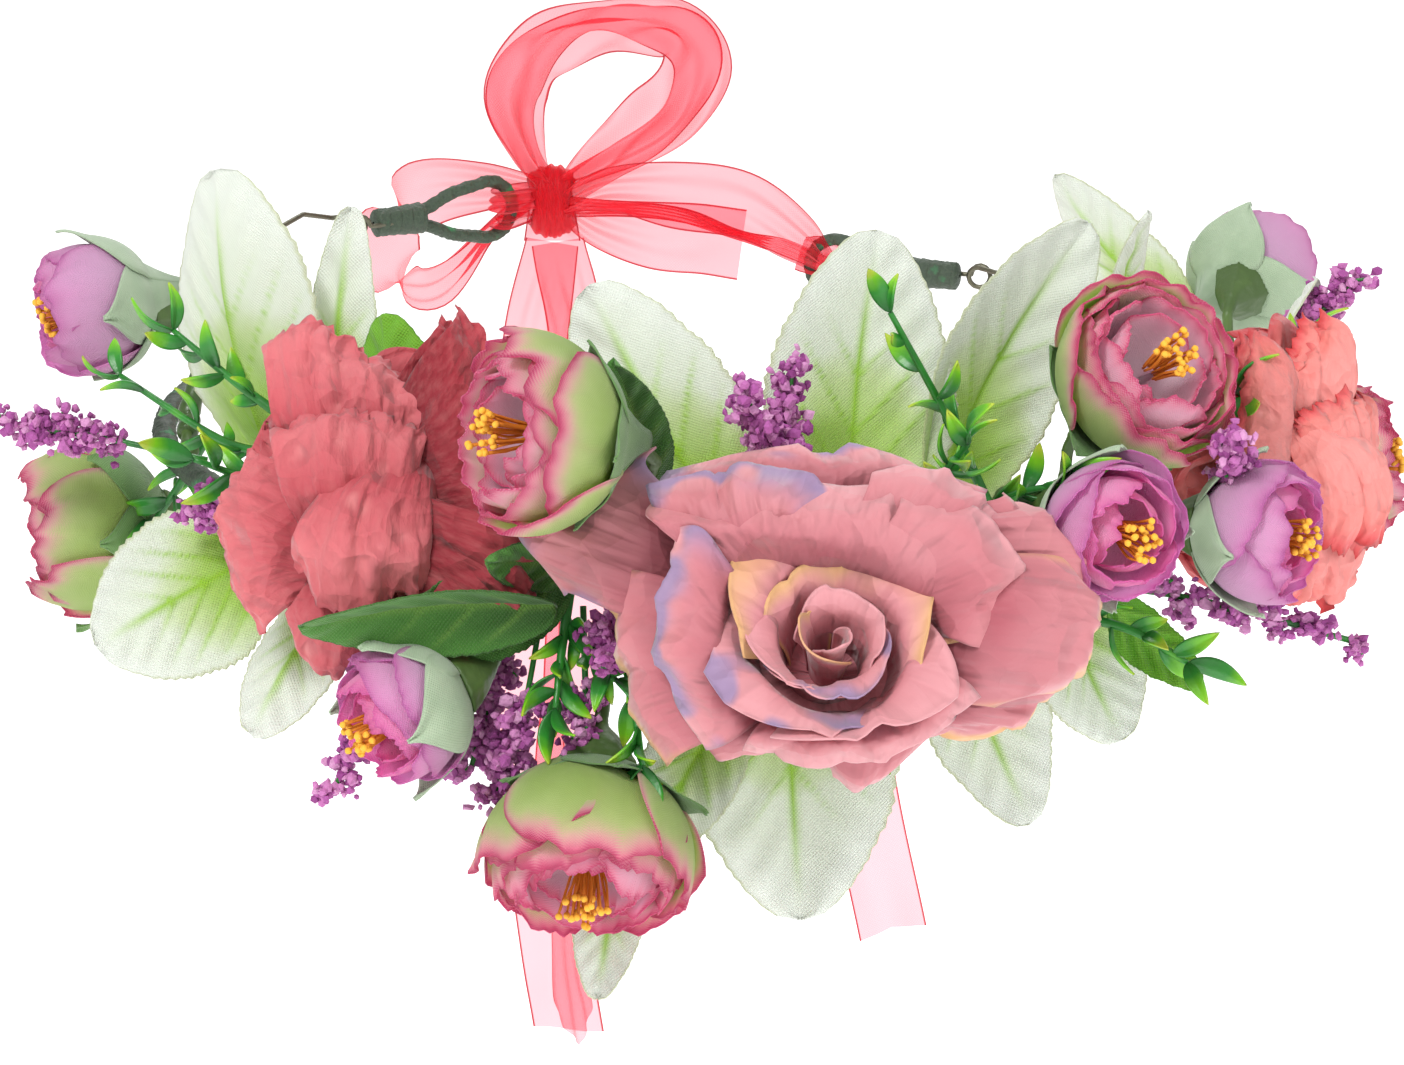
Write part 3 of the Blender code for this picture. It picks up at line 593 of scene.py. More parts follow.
def wrapped_petal(sheets, centre, axes, azimuth, span, inner, outer, low, high, rng, **shape):
    """A petal that stands up round the heart: it turns round the axis by span and its lip rolls outwards."""
    lip = shape["lip"]
    across, along = grid(37, 25)
    theta = np.radians(azimuth + across * span / 2)
    height = low + (high - low) * along * (1 - 0.30 * np.abs(across) ** 3)
    radius = inner + (outer - inner) * along**1.5
    radius = radius * (1 - shape["spiral"] * across)
    peak = np.clip(1 - np.abs(across - shape.get("peak", 0.0)) * 2.2, 0, 1)
    height = height + (high - low) * 0.16 * peak**1.5 * along**2
    lip_part = smoothstep(0.74, 1.0, along) * (0.45 + 0.9 * peak)
    radius = radius + lip * outer * lip_part
    height = height - 0.4 * lip * outer * lip_part**2
    swell = ripple(across * 1.5, along, rng, 3, 2.2)
    for _ in range(shape.get("creases", 0)):
        off = np.abs(across - rng.uniform(-0.8, 0.8) - rng.uniform(-0.4, 0.4) * (along - 0.5))
        swell = swell + rng.choice((-1, 1)) * rng.uniform(1.0, 2.2) * np.exp(-off / 0.06)
    radius = radius * (1 + shape.get("wave", 0.03) * swell * along)
    height = height + 0.03 * (high - low) * ripple(across * 2, along * 0, rng, 3, 2.5) * along
    local = np.stack((radius * np.cos(theta), radius * np.sin(theta), height), -1)
    points = centre + local @ axes
    rim = np.maximum(along**3, np.abs(across) ** 8)
    chance = np.full_like(across, shape.get("chance", rng.uniform()))
    layer = np.full_like(across, shape.get("layer", 0.0))
    cloth = np.stack((across * np.radians(span) / 2 * outer, along * (high - low)), -1)
    sheets.add(points, cloth, np.stack((along, rim, chance, layer), -1))


def ball_petal(sheets, centre, axes, azimuth, span, high, radius, depth, rng, flare, layer, tuck):
    """A petal that hugs a ball from its stalk up to the angle high. Its round top lifts off a little."""
    low = 4
    across, along = grid(27, 25)
    top = 1 - 0.20 * np.abs(across) ** 2.5 + 0.035 * ripple(across * 2, along * 0, rng, 4, 3.0)
    top = top + 0.015 * ripple(across * 9, along * 0, rng, 5, 3.0)
    polar = np.radians(low + (high - low) * along * top)
    narrow = 0.30 + 0.70 * np.sin(np.pi * np.clip(along * 0.62 + 0.06, 0, 1))
    theta = np.radians(azimuth + across * span / 2 * narrow)
    lift = 1 + tuck * across + flare * along**5 + 0.02 * ripple(across, along, rng, 3, 3.0) * along
    lift = lift + 0.03 * np.abs(across) ** 6
    lift = lift + 0.035 * ripple(across * 4, along, rng, 4, 3.0) * along**6
    out = radius * lift * np.sin(polar)
    local = np.stack((out * np.cos(theta), out * np.sin(theta), -depth * lift * np.cos(polar)), -1)
    rim = np.maximum(along**5, np.abs(across) ** 7 * (0.2 + 0.8 * along))
    ones = np.ones_like(across)
    tint = np.stack((along, rim, ones * rng.uniform(), ones * layer), -1)
    arc = radius * np.radians(span) / 2 * narrow * across
    cloth = np.stack((arc, along * radius * np.radians(high)), -1)
    sheets.add(centre + local @ axes, cloth, tint)


def modelled_petal(sheets, centre, axes, rows, rng, **shape):
    """A petal through rows of points in millimetres, from its foot to its lip, each from side to side."""
    rows = np.array(rows, float)
    steps = shape["steps"]
    columns = np.stack([curve_through(row, steps) for row in rows])
    surface = [curve_through(columns[:, index], steps - 3) for index in range(columns.shape[1])]
    surface = np.stack(surface, 1)
    across, along = grid(surface.shape[1], surface.shape[0])
    step_across = np.gradient(surface, axis=1)
    step_along = np.gradient(surface, axis=0)
    normal = np.cross(step_across, step_along)
    normal = normal / (np.linalg.norm(normal, axis=2, keepdims=True) + 1e-9)
    swell = shape["wave"] * ripple(across * 1.4, along * 1.2, rng, 5, 2.2)
    for _ in range(shape["creases"]):
        slope = rng.uniform(-0.5, 0.5)
        off = np.abs(across - rng.uniform(-0.7, 0.7) - slope * (along - 0.5))
        depth = rng.choice((-1, 1)) * rng.uniform(0.7, 1.7)
        swell = swell + depth * np.exp(-off / 0.07) * smoothstep(0.1, 0.6, along)
    crinkle = shape.get("crinkle", 0.0)
    if crinkle:
        folds = ripple(across * 1.6, along * 1.1, rng, 6, 3.0)
        fine = ripple(across * 5, along * 5, rng, 8, 2.6)
        swell = swell + crinkle * (0.6 * np.abs(folds) + 0.22 * np.abs(fine))
    tug = 0.35 * ripple(across * 4, along * 0, rng, 4, 2.5) * along**4
    teeth = np.interp(across[0], np.linspace(-1, 1, 48), rng.uniform(-1, 1, 48))
    tug = tug + shape["teeth"] * teeth[None] * along**6
    way = step_along / (np.linalg.norm(step_along, axis=2, keepdims=True) + 1e-9)
    surface = surface + normal * (swell * (0.15 + 0.85 * along))[..., None] + way * tug[..., None]
    points = centre + surface * MM @ axes
    rim = np.maximum(np.abs(across) ** 3 * (0.2 + 0.8 * along), along**3)
    chance = np.full_like(across, shape["chance"])
    layer = np.full_like(across, shape.get("layer", 0.0))
    size = np.linalg.norm(rows[-1][-1] - rows[-1][0]) * MM
    cloth = np.stack((across * size / 2, along * size), -1)
    sheets.add(points, cloth, np.stack((along, rim, chance, layer), -1))


# How thick the petal cloths are: the rose's satin, and every other petal and leaf.
ROSE_CLOTH = 0.3 * MM
CLOTH = 0.25 * MM

# Axes of the rose: across, up its face, and out of its face, leaning a little upwards.
ROSE_AXES = np.array(((1.0, 0.0, 0.0), (0.0, 0.259, 0.966), (0.0, -0.966, 0.259)))
PLAIN_DYE = 0.5
OCHRE_LIP = 0.8
LILAC_LIP = 0.1
# Each petal: how its lip is dyed, then its rows in millimetres across, up and out from the rose's middle.
ROSE_PETALS = (
    (LILAC_LIP, (
        ((-15, -2, 0), (-16, 2, 0), (-15, 8, 0), (-12, 12, 0)),
        ((-27, 0, 2), (-29, 6, 4), (-27, 13, 4), (-20, 18, 2)),
        ((-35, 3, -1), (-40, 10, 0), (-36, 17, 0), (-24, 22, -1)),
        ((-36, 3, -4), (-43, 12, -4), (-35, 19, -5), (-22, 24, -5)),
    )),
    (OCHRE_LIP, (
        ((-14, 2, 2), (-13, -3, 2), (-11, -9, 2), (-8, -14, 2)),
        ((-22, 6, 5), (-20, -3, 6), (-18, -11, 5), (-13, -17, 4)),
        ((-29, 7, 1), (-26, -4, 3), (-24, -13, 1), (-19, -20, 1)),
        ((-31, 5, -4), (-27, -6, -3), (-25, -15, -4), (-21, -22, -4)),
    )),
    (PLAIN_DYE, (
        ((-10, -10, 3), (-2, -13, 4), (8, -13, 4), (15, -9, 3)),
        ((-15, -17, 4), (-3, -18, 7), (9, -17, 7), (19, -13, 4)),
        ((-14, -20, 0), (-2, -20, 2), (8, -24, 3), (18, -16, 1)),
        ((-13, -21, -3), (0, -21, -3), (7, -26, -1), (16, -18, -3)),
    )),
    (OCHRE_LIP, (
        ((12, -6, 2), (16, -9, 2), (14, -13, 2), (8, -15, 2)),
        ((24, -6, 3), (26, -11, 3), (21, -15, 3), (13, -17, 3)),
        ((38, -6, -2), (35, -12, -1), (27, -16.5, -1), (15, -18, 0)),
        ((38, -8, -5), (35, -14, -5), (27, -18, -5), (15, -19, -4)),
    )),
    (OCHRE_LIP, (
        ((14, 6, 4), (17, 2, 5), (18, -5, 5), (15, -10, 4)),
        ((24, 9, 7), (28, 3, 9), (27, -6, 8), (20, -12, 6)),
        ((36, 9, 3), (40, 1, 4), (38, -7, 3), (26, -13, 3)),
        ((39, 6, -2), (42, -1, -1), (39, -8, -2), (28, -14, -1)),
    )),
    (PLAIN_DYE, (
        ((8, 10, 4), (14, 8, 4), (18, 5, 4), (19, 2, 4)),
        ((17, 15, 5), (23, 13, 6), (27, 9, 5), (27, 5, 4)),
        ((27, 17, 2), (33, 14, 2), (38, 9, 1), (36, 5, 1)),
        ((28, 18, -2), (35, 14, -3), (40, 8, -3), (38, 5, -3)),
    )),
    (LILAC_LIP, (
        ((-14, 8, 4), (-5, 9, 3), (6, 9, 3), (15, 8, 4)),
        ((-19, 15, 4), (-7, 18, 3), (7, 17, 3), (20, 14, 4)),
        ((-22, 19, 2), (-7, 23, 2), (9, 22, 2), (25, 18, 2)),
        ((-21, 21, -2), (-7, 25, -2), (8, 24, -2), (26, 19, -1)),
    )),
    (LILAC_LIP, (
        ((-14, 4, 4), (-10, 6, 6), (-5, 7, 6), (0, 7, 5)),
        ((-19, 10, 8), (-13, 12, 11), (-7, 12, 11), (-1, 11, 8)),
        ((-23, 16, 8), (-15, 18, 11), (-8, 18, 11), (0, 15, 9)),
        ((-24, 19, 5), (-15, 22, 7), (-6, 22, 7), (4, 18, 6)),
    )),
    (PLAIN_DYE, (
        ((2, 5, 5), (7, 6, 5), (12, 5, 5), (16, 2, 5)),
        ((5, 12, 9), (12, 13, 10), (18, 11, 9), (22, 6, 7)),
        ((8, 18, 8), (16, 18, 9), (23, 15, 8), (28, 9, 6)),
        ((9, 20, 5), (17, 21, 5), (26, 17, 5), (30, 10, 3)),
    )),
    (PLAIN_DYE, (
        ((-12, 3, 3), (-4, 4, 2), (6, 5, 2), (15, 2, 3)),
        ((-16, 8, 9), (-5, 9, 9), (7, 8, 9), (18, 3, 8)),
        ((-22, 13, 11), (-6, 12, 13), (8, 11, 12), (20, 7, 10)),
        ((-24, 15, 9), (-6, 16, 12), (9, 15, 11), (22, 11, 8)),
        ((-21, 19, 4), (-5, 20, 6), (11, 19, 6), (25, 16, 4)),
    )),
    (PLAIN_DYE, (
        ((4, 5, 3), (10, 4, 3), (14, 1, 3), (17, -3, 3)),
        ((8, 10, 9), (15, 8, 10), (20, 3, 10), (20, -3, 8)),
        ((12, 15, 11), (21, 12, 11), (26, 5, 10), (23, -4, 8)),
        ((13, 18, 8), (24, 15, 7), (30, 6, 6), (26, -4, 5)),
    )),
    (LILAC_LIP, (
        ((-9, 3, 4), (-11, -3, 4), (-10, -9, 4), (-6, -14, 4)),
        ((-12, 8, 10), (-14, -1, 11), (-14, -10, 10), (-9, -16, 8)),
        ((-16, 13, 13), (-18, 2, 12), (-18, -9, 10), (-12, -18, 7)),
        ((-20, 13, 11), (-22, 3, 9), (-21, -8, 7), (-15, -19, 4)),
    )),
    (PLAIN_DYE, (
        ((-4, -12, 4), (2, -13, 5), (9, -12, 5), (14, -8, 4)),
        ((-7, -15, 10), (2, -17, 12), (12, -15, 11), (19, -8, 9)),
        ((-9, -17, 11), (2, -19, 13), (14, -17, 12), (22, -9, 10)),
        ((-10, -19, 8), (2, -22, 9), (15, -19, 8), (24, -11, 7)),
    )),
)
# The heart's petals: where each faces, its span, its radius at the foot and lip, its height, and its dye.
ROSE_HEART = (
    (95, 190, 9.5, 14.5, 15, OCHRE_LIP),
    (215, 200, 9.0, 13.8, 11, LILAC_LIP),
    (330, 190, 8.2, 12.6, 12, PLAIN_DYE),
    (70, 200, 7.0, 10.2, 14, OCHRE_LIP),
    (190, 210, 6.0, 9.4, 11.5, PLAIN_DYE),
    (300, 210, 5.2, 8.0, 12.5, LILAC_LIP),
    (60, 220, 3.8, 5.6, 13.5, PLAIN_DYE),
    (200, 230, 2.6, 4.2, 12, OCHRE_LIP),
    (320, 250, 1.4, 2.4, 12.5, PLAIN_DYE),
)


def build_rose():
    """The big rose: laid outer petals, and a heart of petals wrapped round each other."""
    rng = np.random.default_rng(11)
    place = middle("rose_outer_petals")
    looks = {"wave": 0.8, "creases": 5, "teeth": 0.2, "steps": 14}
    outer = Sheets()
    for dye, rows in ROSE_PETALS:
        modelled_petal(outer, place, ROSE_AXES, rows, rng, chance=dye, **looks)
    hidden = ("rose_outer_petals",)
    outer.make("rose_petals_outer", ROSE, thickness=ROSE_CLOTH, replaces=hidden)
    inner = Sheets()
    axes = axes_facing((0.06, -0.70, 0.71))
    foot = place + (np.array((2.5, -8.5, 1.0)) * MM) @ ROSE_AXES
    for azimuth, span, low, wide, high, dye in ROSE_HEART:
        wrapped_petal(
            inner, foot, axes, azimuth, span, low * MM, wide * MM, 0.0, high * MM, rng,
            lip=0.36 if wide > 5 else 0.18, spiral=0.20, wave=0.06, chance=dye, creases=3,
            peak=rng.uniform(-0.4, 0.4),
        )
    # A low cup of cloth closes the heart's floor.
    wrapped_petal(
        inner, foot, axes, 0, 360, 0.2 * MM, 11 * MM, -1 * MM, 3.5 * MM, rng,
        lip=0, spiral=0, chance=PLAIN_DYE,
    )
    inner.make("rose_petals_heart", ROSE, thickness=ROSE_CLOTH, replaces=("rose_heart",))


# Each coral petal: how much deep red painted shade it takes, then its rows as in the rose.
CORAL_PETALS = (
    (1.0, (
        ((2, 16, 6), (3, 6, 5), (3, -4, 5), (2, -12, 5)),
        ((6, 22, 7), (9, 8, 8), (12, -2, 9), (9, -14, 7)),
        ((9, 26, 4), (14, 13, 6), (21, -3, 8), (18, -16, 5)),
        ((9, 28, 1), (16, 14, 3), (24, -4, 5), (20, -18, 2)),
    )),
    (0.9, (
        ((3, 2, 7), (3, -4, 7), (2, -10, 7), (0, -14, 7)),
        ((9, -1, 11), (10, -7, 11), (8, -13, 10), (4, -18, 8)),
        ((17, -3, 11), (18, -11, 11), (14, -18, 9), (6, -23, 7)),
        ((20, -4, 8), (21, -13, 8), (16, -21, 6), (6, -25, 4)),
    )),
    (0.0, (
        ((-14, 4, 4), (-8, 2, 6), (-1, 1, 6), (4, 2, 4)),
        ((-17, 13, 6), (-10, 12, 10), (-2, 11, 8), (4, 10, 6)),
        ((-18, 20, 5), (-12, 23, 8), (-3, 19, 7), (5, 16, 5)),
        ((-18, 22, 2), (-11, 27, 4), (-2, 21, 4), (6, 17, 2)),
    )),
    (0.15, (
        ((-12, -6, 5), (-6, -7, 7), (0, -7, 7), (3, -6, 5)),
        ((-15, 1, 9), (-8, 2, 13), (-1, 1, 12), (4, 0, 8)),
        ((-16, 7, 9), (-8, 10, 13), (-1, 8, 12), (5, 7, 8)),
        ((-17, 9, 6), (-8, 13, 10), (0, 11, 9), (6, 9, 6)),
    )),
    (0.0, (
        ((-4, -4, 3), (-5, -8, 4), (-6, -11, 4), (-5, -14, 3)),
        ((-14, 4, 5), (-16, -4, 8), (-16, -10, 7), (-12, -15, 4)),
        ((-20, 7, 3), (-25, -1, 5), (-24, -12, 4), (-18, -19, 2)),
        ((-21, 8, 0), (-27, -1, 1), (-26, -12, 0), (-19, -21, -1)),
    )),
    (0.05, (
        ((0, 8, 6), (2, 8, 6), (4, 7, 6), (6, 6, 5)),
        ((-9, 2, 12), (-3, 2, 15), (3, 1, 13), (7, 0, 8)),
        ((-14, -6, 13), (-6, -8, 16), (2, -8, 14), (7, -8, 9)),
        ((-14, -12, 10), (-6, -17, 12), (2, -15, 11), (7, -13, 7)),
    )),
    (0.35, (
        ((-8, -6, 6), (-4, -8, 8), (2, -9, 8), (6, -8, 6)),
        ((-13, -14, 8), (-7, -17, 10), (1, -18, 9), (7, -15, 7)),
        ((-16, -18, 5), (-9, -25, 6), (-1, -23, 6), (8, -19, 5)),
        ((-16, -19, 2), (-9, -27, 3), (0, -24, 3), (9, -20, 2)),
    )),
    (0.7, (
        ((-4, 4, 0), (2, 5, 0), (8, 5, 0), (12, 4, 0)),
        ((-5, 9, 0), (2, 10, 1), (9, 10, 1), (15, 8, 0)),
        ((-6, 13, -2), (2, 15, -1), (10, 15, -1), (18, 12, -2)),
        ((-7, 15, -4), (2, 17, -4), (11, 17, -4), (20, 13, -5)),
    )),
)


def build_coral(name, axes, seed, warm, mirror=1, size=1.0, shift=(0, 0, 0)):
    """A loose crumpled bloom: laid front petals over a whorl of plain ones. warm brightens the dye and cuts
    the laid petals' painted shade to a quarter.
    """
    rng = np.random.default_rng(seed)
    centre = middle(name + "_petals") + np.array(shift) * MM
    sheets = Sheets()
    for index in range(7):
        azimuth = 360 * index / 7 + rng.uniform(-10, 10)
        length = rng.uniform(16, 20) * MM
        rise = (rng.uniform(-8, 12), rng.uniform(-15, 10))
        whorl_petal(sheets, centre, axes, azimuth, length, 12 * MM, rise, rng, warm)
        # A draw that is not used. Without it the later petals would crumple in another way.
        rng.uniform()
    for deep, rows in CORAL_PETALS:
        for under in (0, 1):
            laid = np.array(rows, float) * (mirror * size, size, size)
            laid = laid * (1 - 0.10 * under) + rng.uniform(-2.2, 2.2, 3) * under - (0, 0, 1.5 * under)
            # layer is the deep red painted shade of each laid petal, a quarter as much on a warm bloom.
            modelled_petal(
                sheets, centre, axes, laid, rng, crinkle=2.0, teeth=1.3, creases=6, steps=15, chance=warm,
                layer=deep * (1 - 0.75 * warm), wave=0.9,
            )
    sheets.make(name + "_crepe", CORAL, thickness=CLOTH, replaces=(name + "_petals",))


def stamens(name, centre, axes, base, length, spread, count, rng):
    """A tuft of powdered threads that stands in the mouth of a bloom."""
    sheets = Sheets()
    for _ in range(count):
        theta = rng.uniform(0, 2 * math.pi)
        off = spread * math.sqrt(rng.uniform())
        foot = np.array((off * 0.5 * math.cos(theta), off * 0.5 * math.sin(theta), base))
        height = base + length * rng.uniform(0.75, 1.1)
        head = np.array((off * math.cos(theta), off * math.sin(theta), height))
        line = curve_through((foot, (foot + head) / 2 + rng.normal(0, 0.25 * MM, 3), head), 3)
        sheets.tube(centre + line @ axes, 0.22 * MM, 5, (0.3, 0, 0, 0))
        top = head + (rng.normal(0, 0.2 * MM), rng.normal(0, 0.2 * MM), 0.9 * MM)
        tip = centre + np.array((head, top)) @ axes
        sheets.tube(np.linspace(tip[0], tip[1], 4), np.array((0.35, 0.55, 0.55, 0.35)) * MM, 6, (1, 0, 0, 0))
    sheets.make(name, STAMEN)


# Two kinds of bloom with petals lapped round a ball. Each whorl: how many petals, the angle that one
# spans, how far up the ball it reaches when shut, how much the opening lowers it, its share of the ball's
# size, its flare, and 0 for the outer cloth to 1 for the inner.
DOUBLE_BLOOM = {
    "cloth": RANUNCULUS,
    "slot": "ranunculus_polyester",
    "whorls": (
        (5, 100, 152, 0.60, 1.00, 0.05, 0.0),
        (5, 92, 152, 0.52, 0.90, 0.03, 0.2),
        (5, 84, 152, 0.44, 0.79, 0.07, 0.6),
        (5, 78, 150, 0.36, 0.66, 0.13, 1.0),
        (4, 76, 146, 0.25, 0.50, 0.16, 1.0),
    ),
    "wide": 1.02,
    "deep": 0.92,
    "turn": 36,
    "stray": 7,
    "lap": 1.25,
    "uneven": 9,
    "tuck": 0.045,
    "stamens": (0.55, 0.26, 26),
    "sepals": (DARK_SEPAL, 5),
}
BUD = {
    "cloth": LILAC,
    "slot": "lilac_polyester",
    "whorls": (
        (3, 130, 150, 0.6, 0.98, 0.02, 0.0),
        (3, 125, 150, 0.4, 0.88, 0.05, 0.1),
        (4, 100, 150, 0.25, 0.74, 0.08, 0.75),
        (3, 100, 140, 0, 0.55, 0.10, 1.0),
    ),
    "wide": 1.04,
    "deep": 1.0,
    "turn": 55,
    "stray": 8,
    "lap": 1.2,
    "uneven": 8,
    "tuck": 0.05,
    "stamens": (0.62, 0.30, 22),
    "sepals": (SEPAL, 4),
}


def build_ball_bloom(name, kind, facing, seed, opening, reach):
    """Petals lapped round a ball, stamens in its mouth, and sepals that reach up its back by this angle."""
    rng = np.random.default_rng(seed)
    node = name + "_bloom"
    low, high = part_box(node)
    radius = float(np.mean(np.array(high) - np.array(low))) / 2 * kind["wide"]
    depth = radius * kind["deep"]
    centre = middle(node)
    axes = axes_facing(facing)
    sheets = Sheets()
    for ring, (count, span, shut, opens, share, flare, layer) in enumerate(kind["whorls"]):
        for index in range(count):
            azimuth = 360 * index / count + kind["turn"] * ring + rng.uniform(-kind["stray"], kind["stray"])
            top = shut - opening * opens + rng.uniform(-kind["uneven"], kind["uneven"])
            ball_petal(
                sheets, centre, axes, azimuth, span * kind["lap"], top, radius * share,
                depth * (share + 0.02), rng, flare, layer, kind["tuck"],
            )
    sheets.make(name + "_petals", kind["cloth"], thickness=CLOTH, replaces=(node,))
    length, spread, count = kind["stamens"]
    base = depth * 0.02
    stamens(name + "_stamens", centre, axes, base, depth * length, radius * spread, count, rng)
    sepal, count = kind["sepals"]
    build_sepals(name, centre, axes, radius, depth, rng, sepal, reach, count)


def build_sepals(name, centre, axes, radius, depth, rng, cloth, reach, count):
    """Sepals that start on the stem, cover the calyx cone and hug the back of the bloom."""
    sheets = Sheets()
    across, along = grid(17, 29)
    neck = 6.0 * MM
    stem = 1.4 * MM
    # The first part of a sepal lies on the cone, which meets the ball at this angle from the stem.
    cone_part = 0.3
    cone_angle = 28
    # A sepal stands off the ball by this much, so that it covers the petals.
    stand_off = 1.07
    edge_out = radius * stand_off * math.sin(math.radians(cone_angle))
    edge_down = -depth * stand_off * math.cos(math.radians(cone_angle))
    share = np.clip(along / cone_part, 0, 1)
    cone_out = stem + (edge_out - stem) * share**1.3
    cone_down = -(depth + neck) + (edge_down + depth + neck) * share
    for index in range(count):
        azimuth = 360 * index / count + rng.uniform(-8, 8)
        top = reach * rng.uniform(0.85, 1.15)
        polar = np.radians(cone_angle + (top - cone_angle) * (along - cone_part) / (1 - cone_part))
        curl = 0.16 * smoothstep(0.75, 1.0, along) * rng.uniform(0.2, 1.0)
        lift = stand_off + 0.02 * (index % 2) + curl
        ball_out = radius * lift * np.sin(np.clip(polar, 0, 3))
        ball_down = -depth * lift * np.cos(polar)
        out = np.where(along > cone_part, ball_out, cone_out)
        down = np.where(along > cone_part, ball_down, cone_down)
        taper = 1 - smoothstep(0.45, 1.02, along) * 0.97
        half = 180 / count * 1.25 * np.where(along < 0.35, 1.0, taper)
        theta = np.radians(azimuth + across * half)
        out = out * (1 + 0.03 * ripple(across, along * 2, rng, 3, 3.0))
        local = np.stack((out * np.cos(theta), out * np.sin(theta), down), -1)
        cloth_place = np.stack((across * np.radians(half) * radius, along * radius * 2), -1)
        ones = np.ones_like(across)
        tint = np.stack((along, np.abs(across) ** 3, ones * rng.uniform(), ones * 0), -1)
        sheets.add(centre + local @ axes, cloth_place, tint)
    sheets.make(name + "_sepals", cloth, thickness=CLOTH)


# ---- leaves ----

# How steeply the halves of a leaf slope from its midrib: a plain leaf, and a dark one.
FLAT_LEAF = 0.15
DARK_LEAF_FOLD = 0.3


def leaf_blade(sheets, root, tip, across_way, width, rng, fold):
    """A serrated blade with a raised midrib and side veins. fold is how steeply its two halves slope."""
    length = np.linalg.norm(tip - root)
    way = (tip - root) / length
    side_way = across_way - way * (across_way @ way)
    side_way /= np.linalg.norm(side_way)
    normal = np.cross(way, side_way)
    across, along = grid(41, 61)
    outline = 0.10 + np.sin(np.pi * along**0.85) ** 0.62 * (1 - 0.15 * along)
    outline = np.where(along > 0.999, 0.02, outline)
    teeth = 22
    saw = (along * teeth) % 1.0
    outline = outline * (1 + 0.05 * (saw - 0.5) * smoothstep(0.05, 0.2, along))
    side = across * width / 2 * outline
    vein_pace = 5.0
    lean = 0.30
    phase = (along - np.abs(across) * outline * lean * width / length * 2.2) * vein_pace
    side_vein = np.exp(-((((phase % 1.0) - 0.5) * length / vein_pace / (0.55 * MM)) ** 2))
    side_vein = side_vein * smoothstep(0.95, 0.5, np.abs(across)) * smoothstep(0.75, 0.45, along)
    midrib = np.exp(-((side / (0.6 * MM)) ** 2)) * smoothstep(0.98, 0.55, along)
    vein = np.clip(midrib + side_vein * 0.8, 0, 1)
    lift = 0.06 * length * np.sin(np.pi * along) - fold * np.abs(side)
    lift = lift + 0.35 * MM * vein
    quilt = np.cos(2 * np.pi * phase) * 0.35 * MM * (np.abs(across) * (1 - np.abs(across))) * 4
    lift = lift + quilt + 0.9 * MM * ripple(across, along * 1.5, rng, 4, 2.5) * np.abs(across)
    side = side * (1 + 0.02 * ripple(across * 0, along * 6, rng, 3, 3.0))
    points = root + way * (along * length)[..., None] + side_way * side[..., None]
    points = points + normal * lift[..., None]
    ones = np.ones_like(across)
    tint = np.stack((along, np.abs(across) ** 2, ones * rng.uniform(), vein), -1)
    sheets.add(points, np.stack((side, along * length), -1), tint)


def build_leaf(node, used, seed, fold=FLAT_LEAF, width=None, across=None):
    """The blade that stands for a CAD leaf. It is a third wider, unless a width is given."""
    rng = np.random.default_rng(seed)
    root, tip, across_way = spine(node)
    points = vertices_of(node)
    reach = (points - points.mean(0)) @ across_way
    width = width or (reach.max() - reach.min()) * 1.35
    if across:
        across_way = np.array(across)
    sheets = Sheets()
    leaf_blade(sheets, root, tip, across_way, width, rng, fold)
    sheets.make(node + "_cloth", used, thickness=CLOTH, replaces=(node,))


def build_leaves():
    """The leaves of the CAD: eleven pale ones, a bright one and a dark folded one."""
    pale = (
        "leaf_left_tall",
        "leaf_left_folded",
        "leaf_crown_left",
        "leaf_crown_mid",
        "leaf_crown_right",
        "leaf_right_back",
        "leaf_left_low",
        "leaf_left_drop",
        "leaf_bottom_mid",
        "leaf_bottom_right",
        "leaf_right_curled",
    )
    for index, node in enumerate(pale):
        build_leaf(node, PALE_LEAF, 100 + index)
    build_leaf("leaf_bright", BRIGHT_LEAF, 130)
    build_leaf("leaf_dark_folded", DARK_LEAF, 131, 0.45, 13 * MM, (0.2, -0.5, 1.0))


# ---- heather and sprigs ----


def crumb_shape():
    """The points and faces of a small ball, from which each lump of foam is made."""
    ball = bpy.data.meshes.new("crumb")
    shape = bmesh.new()
    bmesh.ops.create_icosphere(shape, subdivisions=1, radius=1.0)
    shape.to_mesh(ball)
    shape.free()
    points = np.array([v.co[:] for v in ball.vertices])
    faces = np.array([p.vertices[:] for p in ball.polygons])
    bpy.data.meshes.remove(ball)
    return points, faces


CRUMB = crumb_shape()


